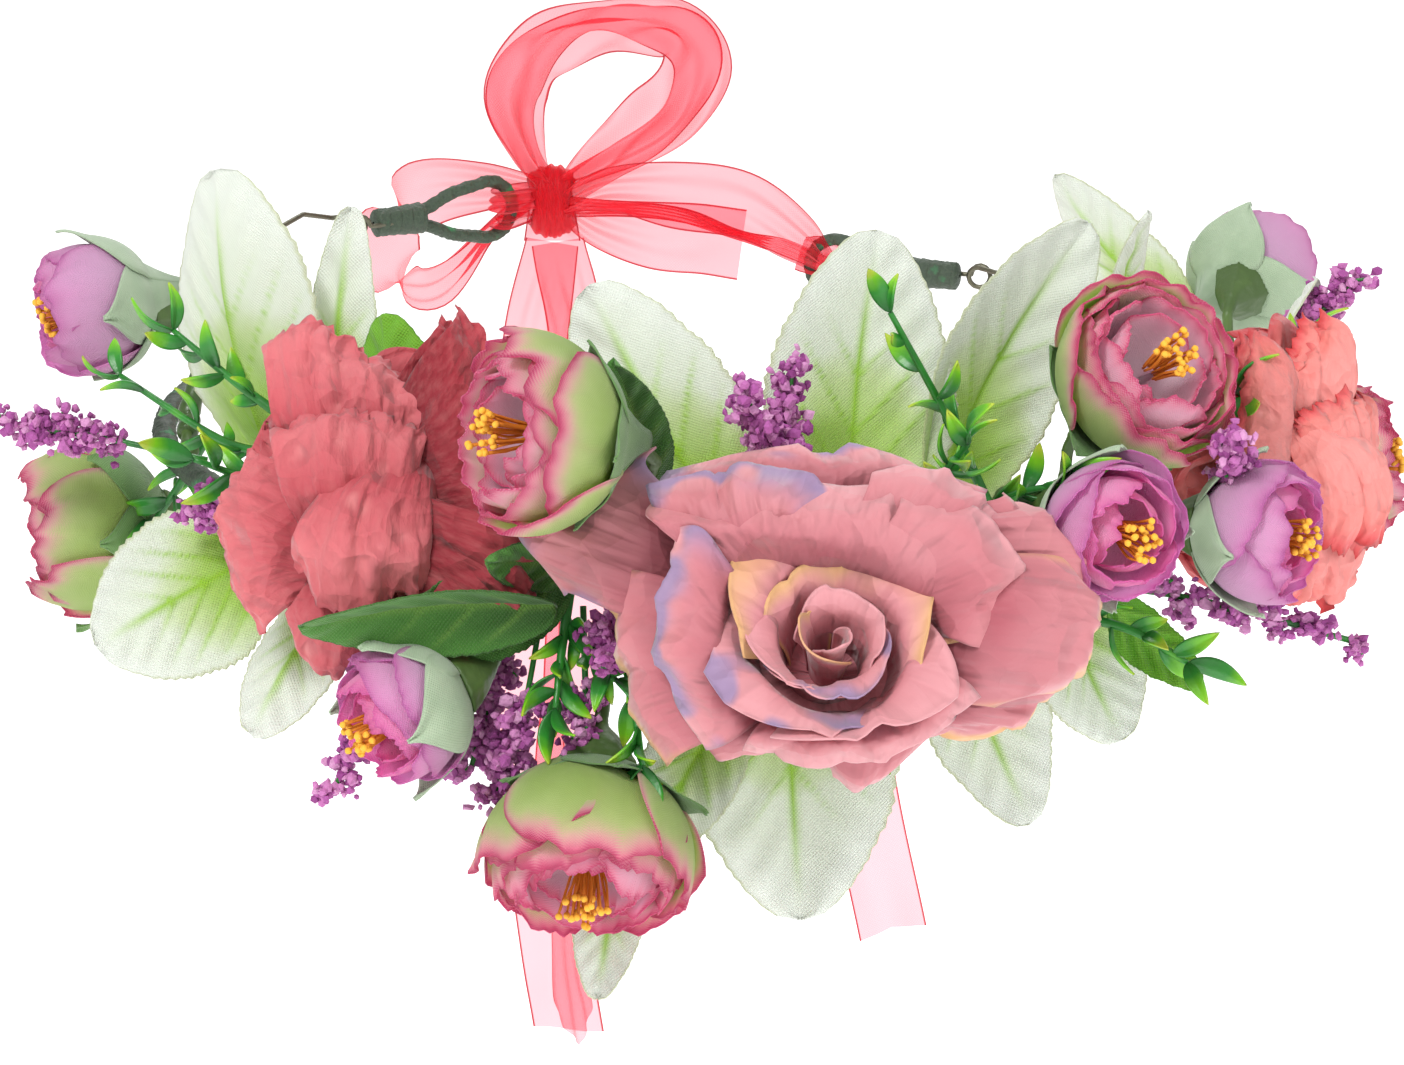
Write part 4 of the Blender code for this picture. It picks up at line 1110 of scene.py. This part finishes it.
def build_heather(node, seed, ends=None):
    """Side twigs along a stalk, each packed with foam crumbs towards its end."""
    branches = 10
    crumbs = 34
    rng = np.random.default_rng(seed)
    root, tip = ends or spine(node)[:2]
    length = np.linalg.norm(tip - root)
    way = (tip - root) / length
    side = unit(np.cross(way, (0.2, 0.9, 0.3)))
    lift = np.cross(way, side)
    twigs = Sheets()
    bend = rng.normal(0, 0.04 * length, 3)
    stalk = curve_through((root, root + way * length * 0.5 + bend, tip), 8)
    twigs.tube(stalk, 0.5 * MM, 6, (0.2, 0, 0, 0))
    ball, faces = CRUMB
    points = []
    chance = []
    for index in range(branches):
        share = 0.38 + 0.62 * index / (branches - 1)
        foot = stalk[int(share * (len(stalk) - 1))]
        theta = index * 2.4 + rng.uniform(-0.4, 0.4)
        out = side * math.cos(theta) + lift * math.sin(theta)
        twig_length = (4.6 - 2.6 * share) * MM * rng.uniform(0.8, 1.2)
        end = foot + (way * 0.8 + out * 0.9) * twig_length
        twigs.tube(np.linspace(foot, end, 4), 0.3 * MM, 5, (0.3, 0, 0, 0))
        for _ in range(crumbs):
            along = rng.uniform(0.1, 1.1)
            spot = foot + (end - foot) * along + rng.normal(0, 0.85 * MM, 3)
            size = rng.uniform(0.5, 0.9) * MM
            lump = ball * (1 + rng.normal(0, 0.22, (len(ball), 1))) * size * rng.uniform(0.7, 1.3, 3)
            points.append(lump + spot)
            chance.append(rng.uniform())
    count = len(points)
    mesh = bpy.data.meshes.new(node + "_crumbs")
    all_faces = (faces[None] + np.arange(count)[:, None, None] * len(ball)).reshape(-1, 3)
    mesh.from_pydata(np.concatenate(points).tolist(), [], all_faces.tolist())
    tint = mesh.attributes.new("tint", "FLOAT_COLOR", "POINT")
    values = np.zeros((count * len(ball), 4), np.float32)
    values[:, 2] = np.repeat(chance, len(ball))
    tint.data.foreach_set("color", values.ravel())
    mesh.materials.append(HEATHER)
    crumbs_piece = bpy.data.objects.new(node + "_crumbs", mesh)
    bpy.context.scene.collection.objects.link(crumbs_piece)
    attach(crumbs_piece, CROWN)
    if not ends:
        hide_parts(node)
    twigs.make(node + "_stalk", SPRIG)


def sprig_leaf(sheets, foot, way, length, rng):
    """A narrow moulded leaf, folded along its midrib."""
    way = unit(way)
    side = unit(np.cross(way, rng.normal(0, 1, 3)))
    normal = np.cross(way, side)
    across, along = grid(9, 17)
    half = length * 0.17 * np.sin(np.pi * along**0.8) ** 0.8
    lift = 0.3 * np.abs(across) * half + length * 0.12 * np.sin(np.pi * along)
    spot = foot + way * (along * length)[..., None] + side * (across * half)[..., None]
    spot = spot + normal * lift[..., None]
    ones = np.ones_like(across)
    tint = np.stack((along, np.abs(across), ones * rng.uniform(), ones * 0), -1)
    sheets.add(spot, np.stack((across * half, along * length), -1), tint)


def build_sprig(name, root, tip, seed, leaves=8, size=7.0, replaces=()):
    """A moulded stalk with small pointed leaves up its length."""
    rng = np.random.default_rng(seed)
    root = np.asarray(root, float)
    tip = np.asarray(tip, float)
    length = np.linalg.norm(tip - root)
    way = (tip - root) / length
    stalk = curve_through((root, (root + tip) / 2 + rng.normal(0, 0.05 * length, 3), tip), 8)
    stems = Sheets()
    stems.tube(stalk, np.linspace(0.9, 0.45, len(stalk)) * MM, 7, (0.3, 0, 0, 0))
    blades = Sheets()
    side = unit(np.cross(way, (0.3, 0.8, 0.4)))
    lift = np.cross(way, side)
    for index in range(leaves):
        share = 0.25 + 0.75 * index / (leaves - 1)
        foot = stalk[int(share * (len(stalk) - 1))]
        theta = index * 2.4
        out = side * math.cos(theta) + lift * math.sin(theta)
        sprig_leaf(blades, foot, way * 0.8 + out * 0.8, size * MM * rng.uniform(0.8, 1.2), rng)
    sprig_leaf(blades, stalk[-1], way, size * 1.2 * MM, rng)
    stems.make(name + "_stalk", SPRIG)
    blades.make(name + "_leaves", SPRIG, thickness=0.35 * MM, replaces=replaces)


# ---- ribbon ----

# Half an inch, a common width for this ribbon.
RIBBON_WIDTH = 12.7 * MM
# How far below its hinge a tail is eased flat, and how far short of the hinge the run above it stops.
TAIL_TOP = 12 * MM
HINGE_GAP = 0.2 * MM


def ribbon(name, corners, ways, widths, seed, body=CROWN, pleats=3, replaces=(), cut=None,
           crush=0.15, pinned=None):
    """A run of organza. At each corner it lies along its way, gathered to a share of its full width."""
    rng = np.random.default_rng(seed)
    steps = 10
    line = curve_through(corners, steps)
    lay = curve_through(ways, steps)
    share = curve_through(np.array(widths, float)[:, None], steps)[:, 0].clip(0.12, 1.0)
    rows = len(line)
    step = np.gradient(line, axis=0)
    step /= np.linalg.norm(step, axis=1, keepdims=True)
    lay = lay - step * (lay * step).sum(1, keepdims=True)
    lay /= np.linalg.norm(lay, axis=1, keepdims=True)
    normal = np.cross(step, lay)
    columns = 33
    across = np.linspace(-1, 1, columns)[None]
    run = np.concatenate(((0,), np.cumsum(np.linalg.norm(np.diff(line, axis=0), axis=1))))
    gather = np.sqrt(1 - share**2)[:, None]
    fold = np.sin(across * math.pi * pleats + 1.3 * np.sin(run[:, None] / (9 * MM) + rng.uniform(0, 6)))
    # This deep, the folds take up the width that the gather leaves over.
    fold = fold * gather * RIBBON_WIDTH / (math.sqrt(2) * math.pi * pleats)
    soft = ripple(across * 1.2, run[:, None] / (20 * MM), rng, 4, 1.6) * 1.0 * MM
    soft = soft + ripple(across * 1.6, run[:, None] / (7 * MM), rng, 4, 1.5) * crush * MM
    if pinned:
        # A run is flat where it meets a hinge, so that the ribbon turns there without lifting.
        ease = smoothstep(0, pinned, run if body != CROWN else run[-1] - run)[:, None]
        fold = fold * ease
        soft = soft * ease
    side = across * RIBBON_WIDTH / 2 * share[:, None]
    points = line[:, None] + lay[:, None] * side[..., None] + normal[:, None] * (fold + soft)[..., None]
    if cut:
        end = smoothstep(0.9, 1.0, np.linspace(0, 1, rows))[:, None]
        points = points + step[:, None] * (end * cut(across))[..., None]
    ones = np.ones((rows, columns))
    tint = np.stack((ones * run[:, None] / run[-1], np.abs(across) * ones, ones * 0, gather * ones), -1)
    cloth = np.stack((across * ones * RIBBON_WIDTH / 2, ones * run[:, None]), -1)
    sheets = Sheets()
    sheets.add(points, cloth, tint)
    piece = sheets.make(name, ORGANZA, body=body, replaces=replaces)
    return piece


def build_ribbons():
    """Each run of the bow, then its knot and its tails."""
    knot = middle("ribbon_knot")

    def at(*places):
        return [knot + np.array(place) * MM for place in places]

    ribbon(
        "bow_loop_back",
        at((-1, 1, 2), (-4, 2, 9), (-6, 3, 18), (-2, 4, 26), (9, 4, 30), (21, 5, 30), (25, 5, 25),
           (21, 5, 16), (10, 3, 8), (2, 1, 3)),
        [(1, 0.5, 0), (1, 0.4, 0), (0.9, 0.3, 0), (0.6, 0.5, -0.6), (0.2, 0.5, -0.9), (-0.3, 0.5, -0.8),
         (-0.9, 0.3, -0.2), (-0.7, 0.5, 0.5), (-0.4, 0.6, 0.7), (-0.2, 0.6, 0.7)],
        [0.25, 0.6, 0.95, 1.0, 0.95, 0.9, 0.9, 0.95, 0.8, 0.3], 21, pleats=2, crush=1.5,
        replaces=("bow_loop_upper",),
    )
    ribbon(
        "bow_loop_front",
        at((0, -1, 2), (-5, -1, 9), (-7, -1, 20), (-1, 0, 29), (10, 0, 33), (22, 1, 31), (27, 1, 24),
           (23, 0, 15), (12, -1, 8), (3, -1, 2)),
        [(1, 0.2, 0), (1, 0.5, 0), (1, 0.2, 0.2), (0.5, 0.5, -0.7), (0.2, 0.6, -0.9), (-0.3, 0.2, -0.9),
         (-1, 0.3, -0.2), (-0.8, 0.4, 0.5), (-0.4, 0.4, 0.7), (-0.2, 0.6, 0.7)],
        [0.25, 0.45, 0.85, 0.9, 0.7, 0.85, 0.9, 0.6, 0.5, 0.3], 27, pleats=2, crush=1.6,
    )
    ribbon(
        "wing_front",
        at((2, -3, 0), (10, -4, 3), (22, -4, 2), (34, -3, 0), (44, -2, -6), (50, 0, -12)),
        [(0, 0.2, 1), (0, 0.3, 1), (0.1, 0.3, 1), (0.2, 0.3, 1), (0.5, 0.4, 0.8), (0.6, 0.5, 0.6)],
        [0.3, 0.6, 0.95, 0.95, 0.7, 0.3], 22, pleats=3, crush=0.4,
        replaces=("bow_wing_right",),
    )
    ribbon(
        "wing_low",
        at((2, 0, -1), (9, -1, -4), (18, -1, -6), (27, 0, -7), (34, 0, -8)),
        [(0, 0.2, 1), (0, 0.3, 1), (0.1, 0.2, 1), (0.1, 0.3, 1), (0.1, 0.2, 1)],
        [0.35, 0.7, 0.95, 1.0, 1.0], 28, pleats=3, crush=0.5,
    )
    ribbon(
        "wing_twist",
        at((2, 3, -1), (12, 3, -2), (22, 2, -3), (32, 1, -6), (42, 1, -9), (51, 1, -13)),
        [(0, -0.2, 1), (0.3, -0.6, 1), (0.1, -0.3, 1), (0.1, -0.9, 0.7), (0.4, 0.2, 0.6), (0.4, 0.2, 0.6)],
        [0.35, 0.32, 0.25, 0.3, 0.26, 0.25], 23, pleats=5,
    )
    ribbon(
        "lobe_left",
        at((-1, 4, 1), (-13, 8, 1), (-24, 10, -1), (-30, 10, -7), (-29, 10, -15), (-22, 9, -17),
           (-13, 8, -8), (-5, 5, -1)),
        [(0, 0.5, 1), (0, 0.4, 1), (0.3, 0.3, 0.9), (0.9, 0.3, 0.3), (0.9, 0.3, -0.4), (0.3, 0.4, -0.9),
         (-0.3, 0.6, -0.9), (0, 0.6, -0.9)],
        [0.3, 0.7, 1.0, 1.0, 1.0, 0.8, 0.4, 0.25], 24, pleats=3, crush=0.4,
        replaces=("bow_lobe_left",),
    )
    build_knot(knot)
    tails()
    tail_roots()


def build_knot(knot):
    """The pulled knot: folds of ribbon wound round a core, and the hitch through the left eye."""
    sheets = Sheets()
    low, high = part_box("ribbon_knot")
    size = (np.array(high) - np.array(low)) / 2
    for index in range(5):
        across, along = grid(33, 73)
        theta = along * 2 * math.pi * 1.02 + index
        tilt = 0.3 * math.sin(index * 1.7)
        grow = 1.0 + 0.03 * index
        band = across * 0.55 + tilt * np.sin(theta)
        x = size[0] * grow * band
        ring = np.sqrt(np.clip(0.88 - band**2 * 0.6, 0.05, 2))
        fold = 1 + 0.04 * np.sin(across * 11 + index + np.sin(theta)) - 0.10 * across**4
        y = size[1] * grow * ring * fold * np.cos(theta)
        z = size[2] * grow * ring * fold * np.sin(theta)
        points = knot + np.stack((x, y, z), -1)
        ones = np.ones_like(across)
        tint = np.stack((along, np.abs(across), ones * 0, ones * 0.9), -1)
        sheets.add(points, np.stack((across * 6 * MM, along * 30 * MM), -1), tint)
    piece = sheets.make("knot_folds", ORGANZA, replaces=("ribbon_knot",))
    tip = np.array((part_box("eye_left")[1][0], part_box("eye_left")[1][1], middle("eye_left")[2]))
    low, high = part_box("ribbon_hitch")
    back = knot + np.array((-3, 3.0, 0)) * MM
    front = knot + np.array((-3, -3.0, 0)) * MM
    inside = np.array((low[0] - 0.5 * MM, low[1] - 0.5 * MM, knot[2]))
    way = unit(np.array((tip[0], tip[1], 0)))
    halfway = inside + (tip - inside) * 0.4
    spread = way * 2.6 * MM
    ribbon(
        "hitch_folds", [front, halfway - spread, inside, halfway + spread, back],
        [(0, 0, 1)] * 5, [0.5, 0.55, 0.5, 0.55, 0.5], 26, pleats=4,
        replaces=("ribbon_hitch",),
    )


def joint(name):
    return next(found for found in frame["joints"] if found["name"] == name)


def tails():
    """The three hanging runs, from their hinges to their cut ends, which fall as low as the CAD's."""
    left = np.array(joint("left_tails_swing")["pos_m"])
    right = np.array(joint("right_tail_swing")["pos_m"])

    def hang(top, node, moves):
        """The points at these shares of the way down, each moved by so many millimetres across and out."""
        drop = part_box(node)[0][2] - top[2]
        return [top + np.array((dx * MM, dy * MM, drop * share)) for dx, dy, share in moves]

    front = [(0, 0, 0.0), (-3, -2, 0.12), (-5, -5, 0.35), (-5, -3, 0.58), (-2, 0, 0.8), (2, 1, 1.0)]
    ribbon(
        "tail_front", hang(left, "tail_left_front", front),
        [(1, 0, 0), (1, 0.2, 0), (1, 0.3, 0), (1, 0.1, 0), (1, 0, 0), (1, -0.1, 0)],
        [0.75, 0.95, 1.0, 1.0, 1.0, 1.0], 31, crush=0.3, pinned=TAIL_TOP, body="left_tails",
        replaces=("tail_left_front",), cut=lambda across: across * 1.5 * MM,
    )
    back = [(1, 0, 0.0), (5, 4, 0.15), (6, 6, 0.35), (2, 5, 0.6), (2, 2, 0.8), (3, 1, 0.97)]
    ribbon(
        "tail_back", hang(left, "tail_left_back", back),
        [(1, 0, 0), (1, -0.4, 0), (1, -0.2, 0), (0.9, 0.6, 0), (0.7, 1, 0), (0.6, 1, 0)],
        [0.75, 0.95, 1.0, 1.0, 1.0, 0.9], 32, crush=0.5, pinned=TAIL_TOP, body="left_tails",
        replaces=("tail_left_back",), cut=lambda across: -np.abs(across) * 6 * MM,
    )
    side = [(0, 0, 0.0), (0, 0, 0.2), (1, 1, 0.5), (4, 0, 0.75), (10, 0, 1.0)]
    ribbon(
        "tail_side", hang(right, "tail_right", side),
        [(1, 0, 0)] * 5, [0.75, 0.9, 1.0, 1.0, 1.0], 33, pinned=TAIL_TOP, body="right_tail",
        replaces=("tail_right",), cut=lambda across: np.abs(across) * 2 * MM - 1 * MM,
    )


def tail_roots():
    """The short gathered runs that join the knot, and the strand in the right eye, to the tails' hinges."""
    knot = middle("ribbon_knot")
    left = np.array(joint("left_tails_swing")["pos_m"])
    right = np.array(joint("right_tail_swing")["pos_m"])
    strand = knot + np.array((50.5, 1, -12.5)) * MM
    # The right run's last stretch comes straight down onto its hinge, so that its end lies along it.
    above = np.array((right[0], *strand[1:]))
    runs = (
        ("left_tail_root", [knot + UP * 5 * MM, knot - UP * 3 * MM, left], 41),
        ("right_tail_root", [strand + np.array((-6, 0, 3)) * MM, above, right], 42),
    )
    for name, corners, seed in runs:
        # It stops a little short of the hinge, so that the tail turns without touching it.
        corners[-1] = corners[-1] + unit(corners[-2] - corners[-1]) * HINGE_GAP
        ribbon(name, corners, [(1, 0, 0)] * 3, [0.5, 0.7, 0.8], seed, pinned=3 * MM)


# ---- set ----


# The light table lies this far below the crown's middle, and the camera is this far from it.
TABLE_DEPTH = 0.32
CAMERA_DISTANCE = 1.0
# The camera looks up at the crown a little, and at a point just left of its middle and below it.
CAMERA_ANGLE = math.radians(15)
CAMERA_AIM = Vector((-0.0022, 0, -0.0194))
# Long enough, on a sensor 36 mm wide, to fill the picture with the crown from that far off.
FOCAL_LENGTH = 154
# Each lamp: its name, its place, its width in metres, and its power in watts.
LAMPS = (
    ("key", (-0.6, -1.0, 1.2), 0.4, 18),
    ("fill", (0.9, -0.9, 0.3), 0.8, 5),
    ("back", (0.1, 1.0, 0.9), 0.6, 6),
)


def build_set():
    """The white surroundings, the light table, the lamps and the camera."""
    scene = bpy.context.scene
    scene.view_settings.view_transform = "Standard"
    world = bpy.data.worlds.new("studio")
    world.use_nodes = True
    world.node_tree.nodes["Background"].inputs["Color"].default_value = (1, 1, 1, 1)
    world.node_tree.nodes["Background"].inputs["Strength"].default_value = 0.65
    scene.world = world

    bpy.ops.mesh.primitive_plane_add(size=40, location=(0, 0, -TABLE_DEPTH))
    floor = bpy.context.object
    floor.name = "light_table"
    # A light table: opal white that also glows, so the shadows under the flowers stay soft.
    opal, tree = finish("opal_light_table")
    glow = {"Emission Color": (1, 1, 1, 1), "Emission Strength": 0.5}
    face = put(tree, "BsdfPrincipled", {"Base Color": linear("#F8F8F8"), "Roughness": 0.9, **glow})
    close_finish(tree, face.outputs[0])
    floor.data.materials.append(opal)

    for name, place, size, power in LAMPS:
        lamp = bpy.data.lights.new(name, "AREA")
        lamp.size = size
        lamp.energy = power
        holder = bpy.data.objects.new(name, lamp)
        holder.location = place
        holder.rotation_euler = (-Vector(place)).to_track_quat("-Z", "Y").to_euler()
        scene.collection.objects.link(holder)

    view = Vector((0, math.cos(CAMERA_ANGLE), -math.sin(CAMERA_ANGLE)))
    lens = bpy.data.cameras.new("camera")
    lens.lens = FOCAL_LENGTH
    lens.sensor_width = 36
    lens.clip_start = 0.01
    camera = bpy.data.objects.new("camera", lens)
    camera.location = CAMERA_AIM - view * CAMERA_DISTANCE
    camera.rotation_euler = view.to_track_quat("-Z", "Y").to_euler()
    scene.collection.objects.link(camera)
    scene.camera = camera


def wound(node, used, grain, crepe):
    """A smooth copy of a wire or stem piece: evened out at this grain, then roughened by winding creases."""
    mesh = frame["nodes"][node].data.copy()
    mesh.name = node + "_wound"
    mesh.materials.clear()
    mesh.materials.append(used)
    piece = bpy.data.objects.new(node + "_wound", mesh)
    bpy.context.scene.collection.objects.link(piece)
    even = piece.modifiers.new("even out", "REMESH")
    even.mode = "VOXEL"
    even.voxel_size = grain
    even.use_smooth_shade = True
    soft = piece.modifiers.new("soften", "SMOOTH")
    soft.factor = 0.5
    soft.iterations = 4
    if crepe:
        creases = bpy.data.textures.get("winding creases")
        creases = creases or bpy.data.textures.new("winding creases", "CLOUDS")
        creases.noise_scale = 1.1 * MM
        rough = piece.modifiers.new("winding creases", "DISPLACE")
        rough.texture = creases
        rough.strength = crepe
        rough.mid_level = 0.5
    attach(piece, CROWN)
    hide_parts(node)


def taped_sleeve(node):
    """Tape wound round the foot of an eye in a low spiral, narrower towards the hook."""
    root, tip, _ = spine(node)
    eye = middle(node.replace("ferrule", "eye"))
    ends = sorted((root, tip), key=lambda end: np.linalg.norm(end - eye), reverse=True)
    way = unit(ends[1] - ends[0])
    side = unit(np.cross(way, UP))
    lift = np.cross(side, way)
    round_it = np.linspace(0, 2 * math.pi, 48, endpoint=False)
    share, angle = np.meshgrid(np.linspace(0, 1, 70), round_it, indexing="ij")
    length = np.linalg.norm(ends[1] - ends[0])
    turns = share * length / (2.2 * MM)
    step = (turns - angle / (2 * math.pi)) % 1.0
    radius = (2.15 + 0.55 * share) * MM + 0.22 * MM * step
    radius = radius * np.sqrt(np.clip(1 - np.clip((0.06 - share) / 0.06, 0, 1) ** 2, 0.02, 1))
    radius = radius * np.sqrt(np.clip(1 - np.clip((share - 0.94) / 0.06, 0, 1) ** 2, 0.02, 1))
    ring = side * np.cos(angle)[..., None] + lift * np.sin(angle)[..., None]
    points = ends[0] + way * (share * length)[..., None] + ring * radius[..., None]
    sheets = Sheets()
    tint = np.full((*share.shape, 4), 0.5)
    sheets.add(points, np.stack((angle * 2.4 * MM, share * length), -1), tint, closed=True)
    sheets.make(node + "_wound", TAPE, replaces=(node,))


def stem_sleeve(name):
    """A ribbed plastic sleeve, 9 mm long, pushed up the stem to the calyx."""
    points = vertices_of(name + "_calyx_stem")
    ends = np.array([edge.vertices[:] for edge in frame["nodes"][name + "_calyx_stem"].data.edges])
    share = np.linspace(0, 1, 25)[:, None, None]
    # Even steps along every edge fill the long gaps between the stem's rings.
    dense = (points[ends[:, 0]] * (1 - share) + points[ends[:, 1]] * share).reshape(-1, 3)
    low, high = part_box(name + "_bloom")
    away = np.linalg.norm(dense - middle(name + "_bloom"), axis=1)
    foot = float(np.mean(np.array(high) - np.array(low))) / 2 + 7 * MM
    reaches = np.linspace(foot, foot + 9 * MM, 7)
    line = curve_through([dense[np.abs(away - reach) < 0.5 * MM].mean(0) for reach in reaches], 10)
    ribs = np.abs(np.sin(np.linspace(0, 8 * math.pi, len(line))))
    sheets = Sheets()
    sheets.tube(line, (1.6 + 0.25 * ribs) * MM, sides=20)
    sheets.make(name + "_stem_sleeve", SLEEVE)


def build_wires():
    """The taped band and its eyes, the bare core wire, and the stems with their sleeves."""
    for node in ("eye_left", "eye_right"):
        wound(node, TAPE, 0.25 * MM, 0.45 * MM)
    for node in ("ferrule_left", "ferrule_right"):
        taped_sleeve(node)
    wound("band_tape", TAPE, 0.5 * MM, 0.8 * MM)
    wound("band_core_wire", WIRE, 0.22 * MM, 0)
    for node in sorted(frame["nodes"]):
        if node.endswith("calyx_stem"):
            wound(node, STEM, 0.4 * MM, 0.25 * MM)
    for name in ("bud_left", "bud_right_front"):
        stem_sleeve(name)


# Filler in millimetres: the middle of the wreath hides the roots.
EXTRA_SPRIGS = (
    ("sprig_left_upper", (-66, -66, 16), (-84, -60, 29), 8, 7.0),
    ("sprig_left_mid", (-68, -64, 10), (-94, -44, 18), 8, 7.0),
    ("sprig_left_low", (-66, -68, 6), (-80, -74, 12), 6, 8.0),
    ("sprig_right_high", (30, -98, 8), (37, -108, 23), 9, 8.0),
    ("sprig_right_mid", (32, -98, 4), (52, -108, 17), 10, 8.0),
    ("sprig_right_low", (34, -98, 0), (50, -109, 6), 9, 8.0),
    ("sprig_right_under", (52, -90, -8), (71, -96, -14), 7, 8.0),
    ("sprig_lower_left_a", (-16, -98, -4), (-11, -116, -24), 10, 8.0),
    ("sprig_lower_left_b", (-22, -98, -2), (-24, -110, -17), 9, 7.5),
    ("sprig_lower_left_c", (-24, -98, -4), (-15, -112, -12), 8, 7.0),
    ("sprig_front_low", (20, -96, -6), (24, -108, -20), 7, 7.0),
    ("sprig_back_right", (66, -60, 6), (80, -64, 20), 8, 8.0),
    ("sprig_back_far", (84, -10, 4), (96, -14, 16), 8, 8.0),
    ("sprig_back_left", (-82, -30, 4), (-92, -26, -12), 8, 8.0),
    ("sprig_under_left", (-40, -86, -4), (-48, -98, -16), 8, 8.0),
)
EXTRA_HEATHER = (
    ("heather_extra_left", (-72, -70, 8), (-80, -64, 1)),
    ("heather_extra_low_a", (-26, -100, -4), (-33, -106, -31)),
    ("heather_extra_low_b", (-20, -100, -4), (-19, -110, -27)),
    ("heather_extra_low_c", (-14, -98, 2), (-15, -114, -8)),
    ("heather_extra_low_d", (-38, -90, -8), (-58, -100, -33)),
    ("heather_extra_right", (76, -80, 4), (76, -98, 21)),
    ("heather_extra_top", (14, -96, 14), (4, -110, 31)),
)
# Leaf: root, tip, width, which cloth.
EXTRA_LEAVES = (
    ("leaf_bottom_left", (2, -102, -18), (-12, -108, -43), 15, "pale"),
    ("leaf_bottom_tip", (-15, -103, -40), (-18, -106, -64), 11, "pale"),
    ("leaf_dark_upper", (-9, -100, 14), (-15, -113, 37), 9, "dark"),
    ("leaf_dark_broad", (-22, -100, 0), (-50, -110, -8), 15, "dark"),
    ("leaf_dark_curl", (-18, -100, 2), (-34, -112, 6), 9, "dark"),
    ("leaf_small_right", (60, -84, -8), (74, -86, -21), 9, "bright"),
    ("leaf_small_left", (-58, -80, -8), (-70, -84, -19), 7, "bright"),
    ("leaf_pale_right_tip", (62, -52, 22), (67, -56, 47), 9, "pale"),
    ("leaf_fill_right", (40, -92, 2), (58, -106, 12), 11, "dark"),
    ("leaf_fill_back", (88, -2, 2), (100, 8, 22), 13, "pale"),
)


def build_fillers():
    """The small greenery and heather that fill the gaps between the CAD's pieces."""
    for index, (name, root, tip, leaves, size) in enumerate(EXTRA_SPRIGS):
        build_sprig(name, np.array(root) * MM, np.array(tip) * MM, 200 + index, leaves, size)
    for index, (name, root, tip) in enumerate(EXTRA_HEATHER):
        build_heather(name, 300 + index, ends=(np.array(root) * MM, np.array(tip) * MM))
    cloths = {
        "pale": (PALE_LEAF, "pale_leaf", FLAT_LEAF),
        "dark": (DARK_LEAF, "green_leaf", DARK_LEAF_FOLD),
        "bright": (BRIGHT_LEAF, "green_leaf", FLAT_LEAF),
    }
    for index, (name, root, tip, width, cloth) in enumerate(EXTRA_LEAVES):
        rng = np.random.default_rng(400 + index)
        sheets = Sheets()
        root = np.array(root) * MM
        tip = np.array(tip) * MM
        across_way = np.cross(tip - root, unit((root[0], root[1], 0)))
        used, slot, fold = cloths[cloth]
        leaf_blade(sheets, root, tip, across_way, width * MM, rng, fold)
        sheets.make(name, used, thickness=CLOTH)


build_set()
build_wires()
build_rose()
build_coral("coral_left", ROSE_AXES, 41, 0.0)
coral_axes = axes_facing((0.74, -0.66, 0.12))
build_coral("coral_right", coral_axes, 42, 1.0, mirror=-1, size=0.84, shift=(-3.5, 0, 0))
for bloom, facing, seed, opening, sepal_reach in (
    ("ranunculus_upper", (-0.9, -0.42, 0.15), 51, 70, 62),
    ("ranunculus_right", (0.5, -0.64, 0.55), 52, 80, 62),
    ("ranunculus_bottom", (-0.05, -0.62, -0.75), 53, 70, 62),
    ("ranunculus_left", (-1, -0.15, 0), 54, 30, 98),
    ("ranunculus_far_right", (0.95, -0.1, 0.2), 55, 60, 62),
):
    build_ball_bloom(bloom, DOUBLE_BLOOM, facing, seed, opening, sepal_reach)
for bloom, facing, seed, opening in (
    ("bud_left", (-0.93, -0.3, -0.15), 61, 40),
    ("bud_lower_left", (-0.78, -0.52, -0.35), 62, 90),
    ("bud_right_front", (0.5, -0.85, 0.05), 63, 95),
    ("bud_right_side", (0.85, -0.5, 0), 64, 60),
    ("bud_far_right", (0.6, 0.75, 0.2), 65, 50),
):
    build_ball_bloom(bloom, BUD, facing, seed, opening, 96)
build_leaves()
for index, node in enumerate(sorted(name for name in frame["nodes"] if name.startswith("heather_"))):
    build_heather(node, 71 + index)
root, tip, _ = spine("plastic_sprig_centre")
build_sprig("plastic_sprig_centre", root, tip, 81, replaces=("plastic_sprig_centre",))
build_fillers()
build_ribbons()

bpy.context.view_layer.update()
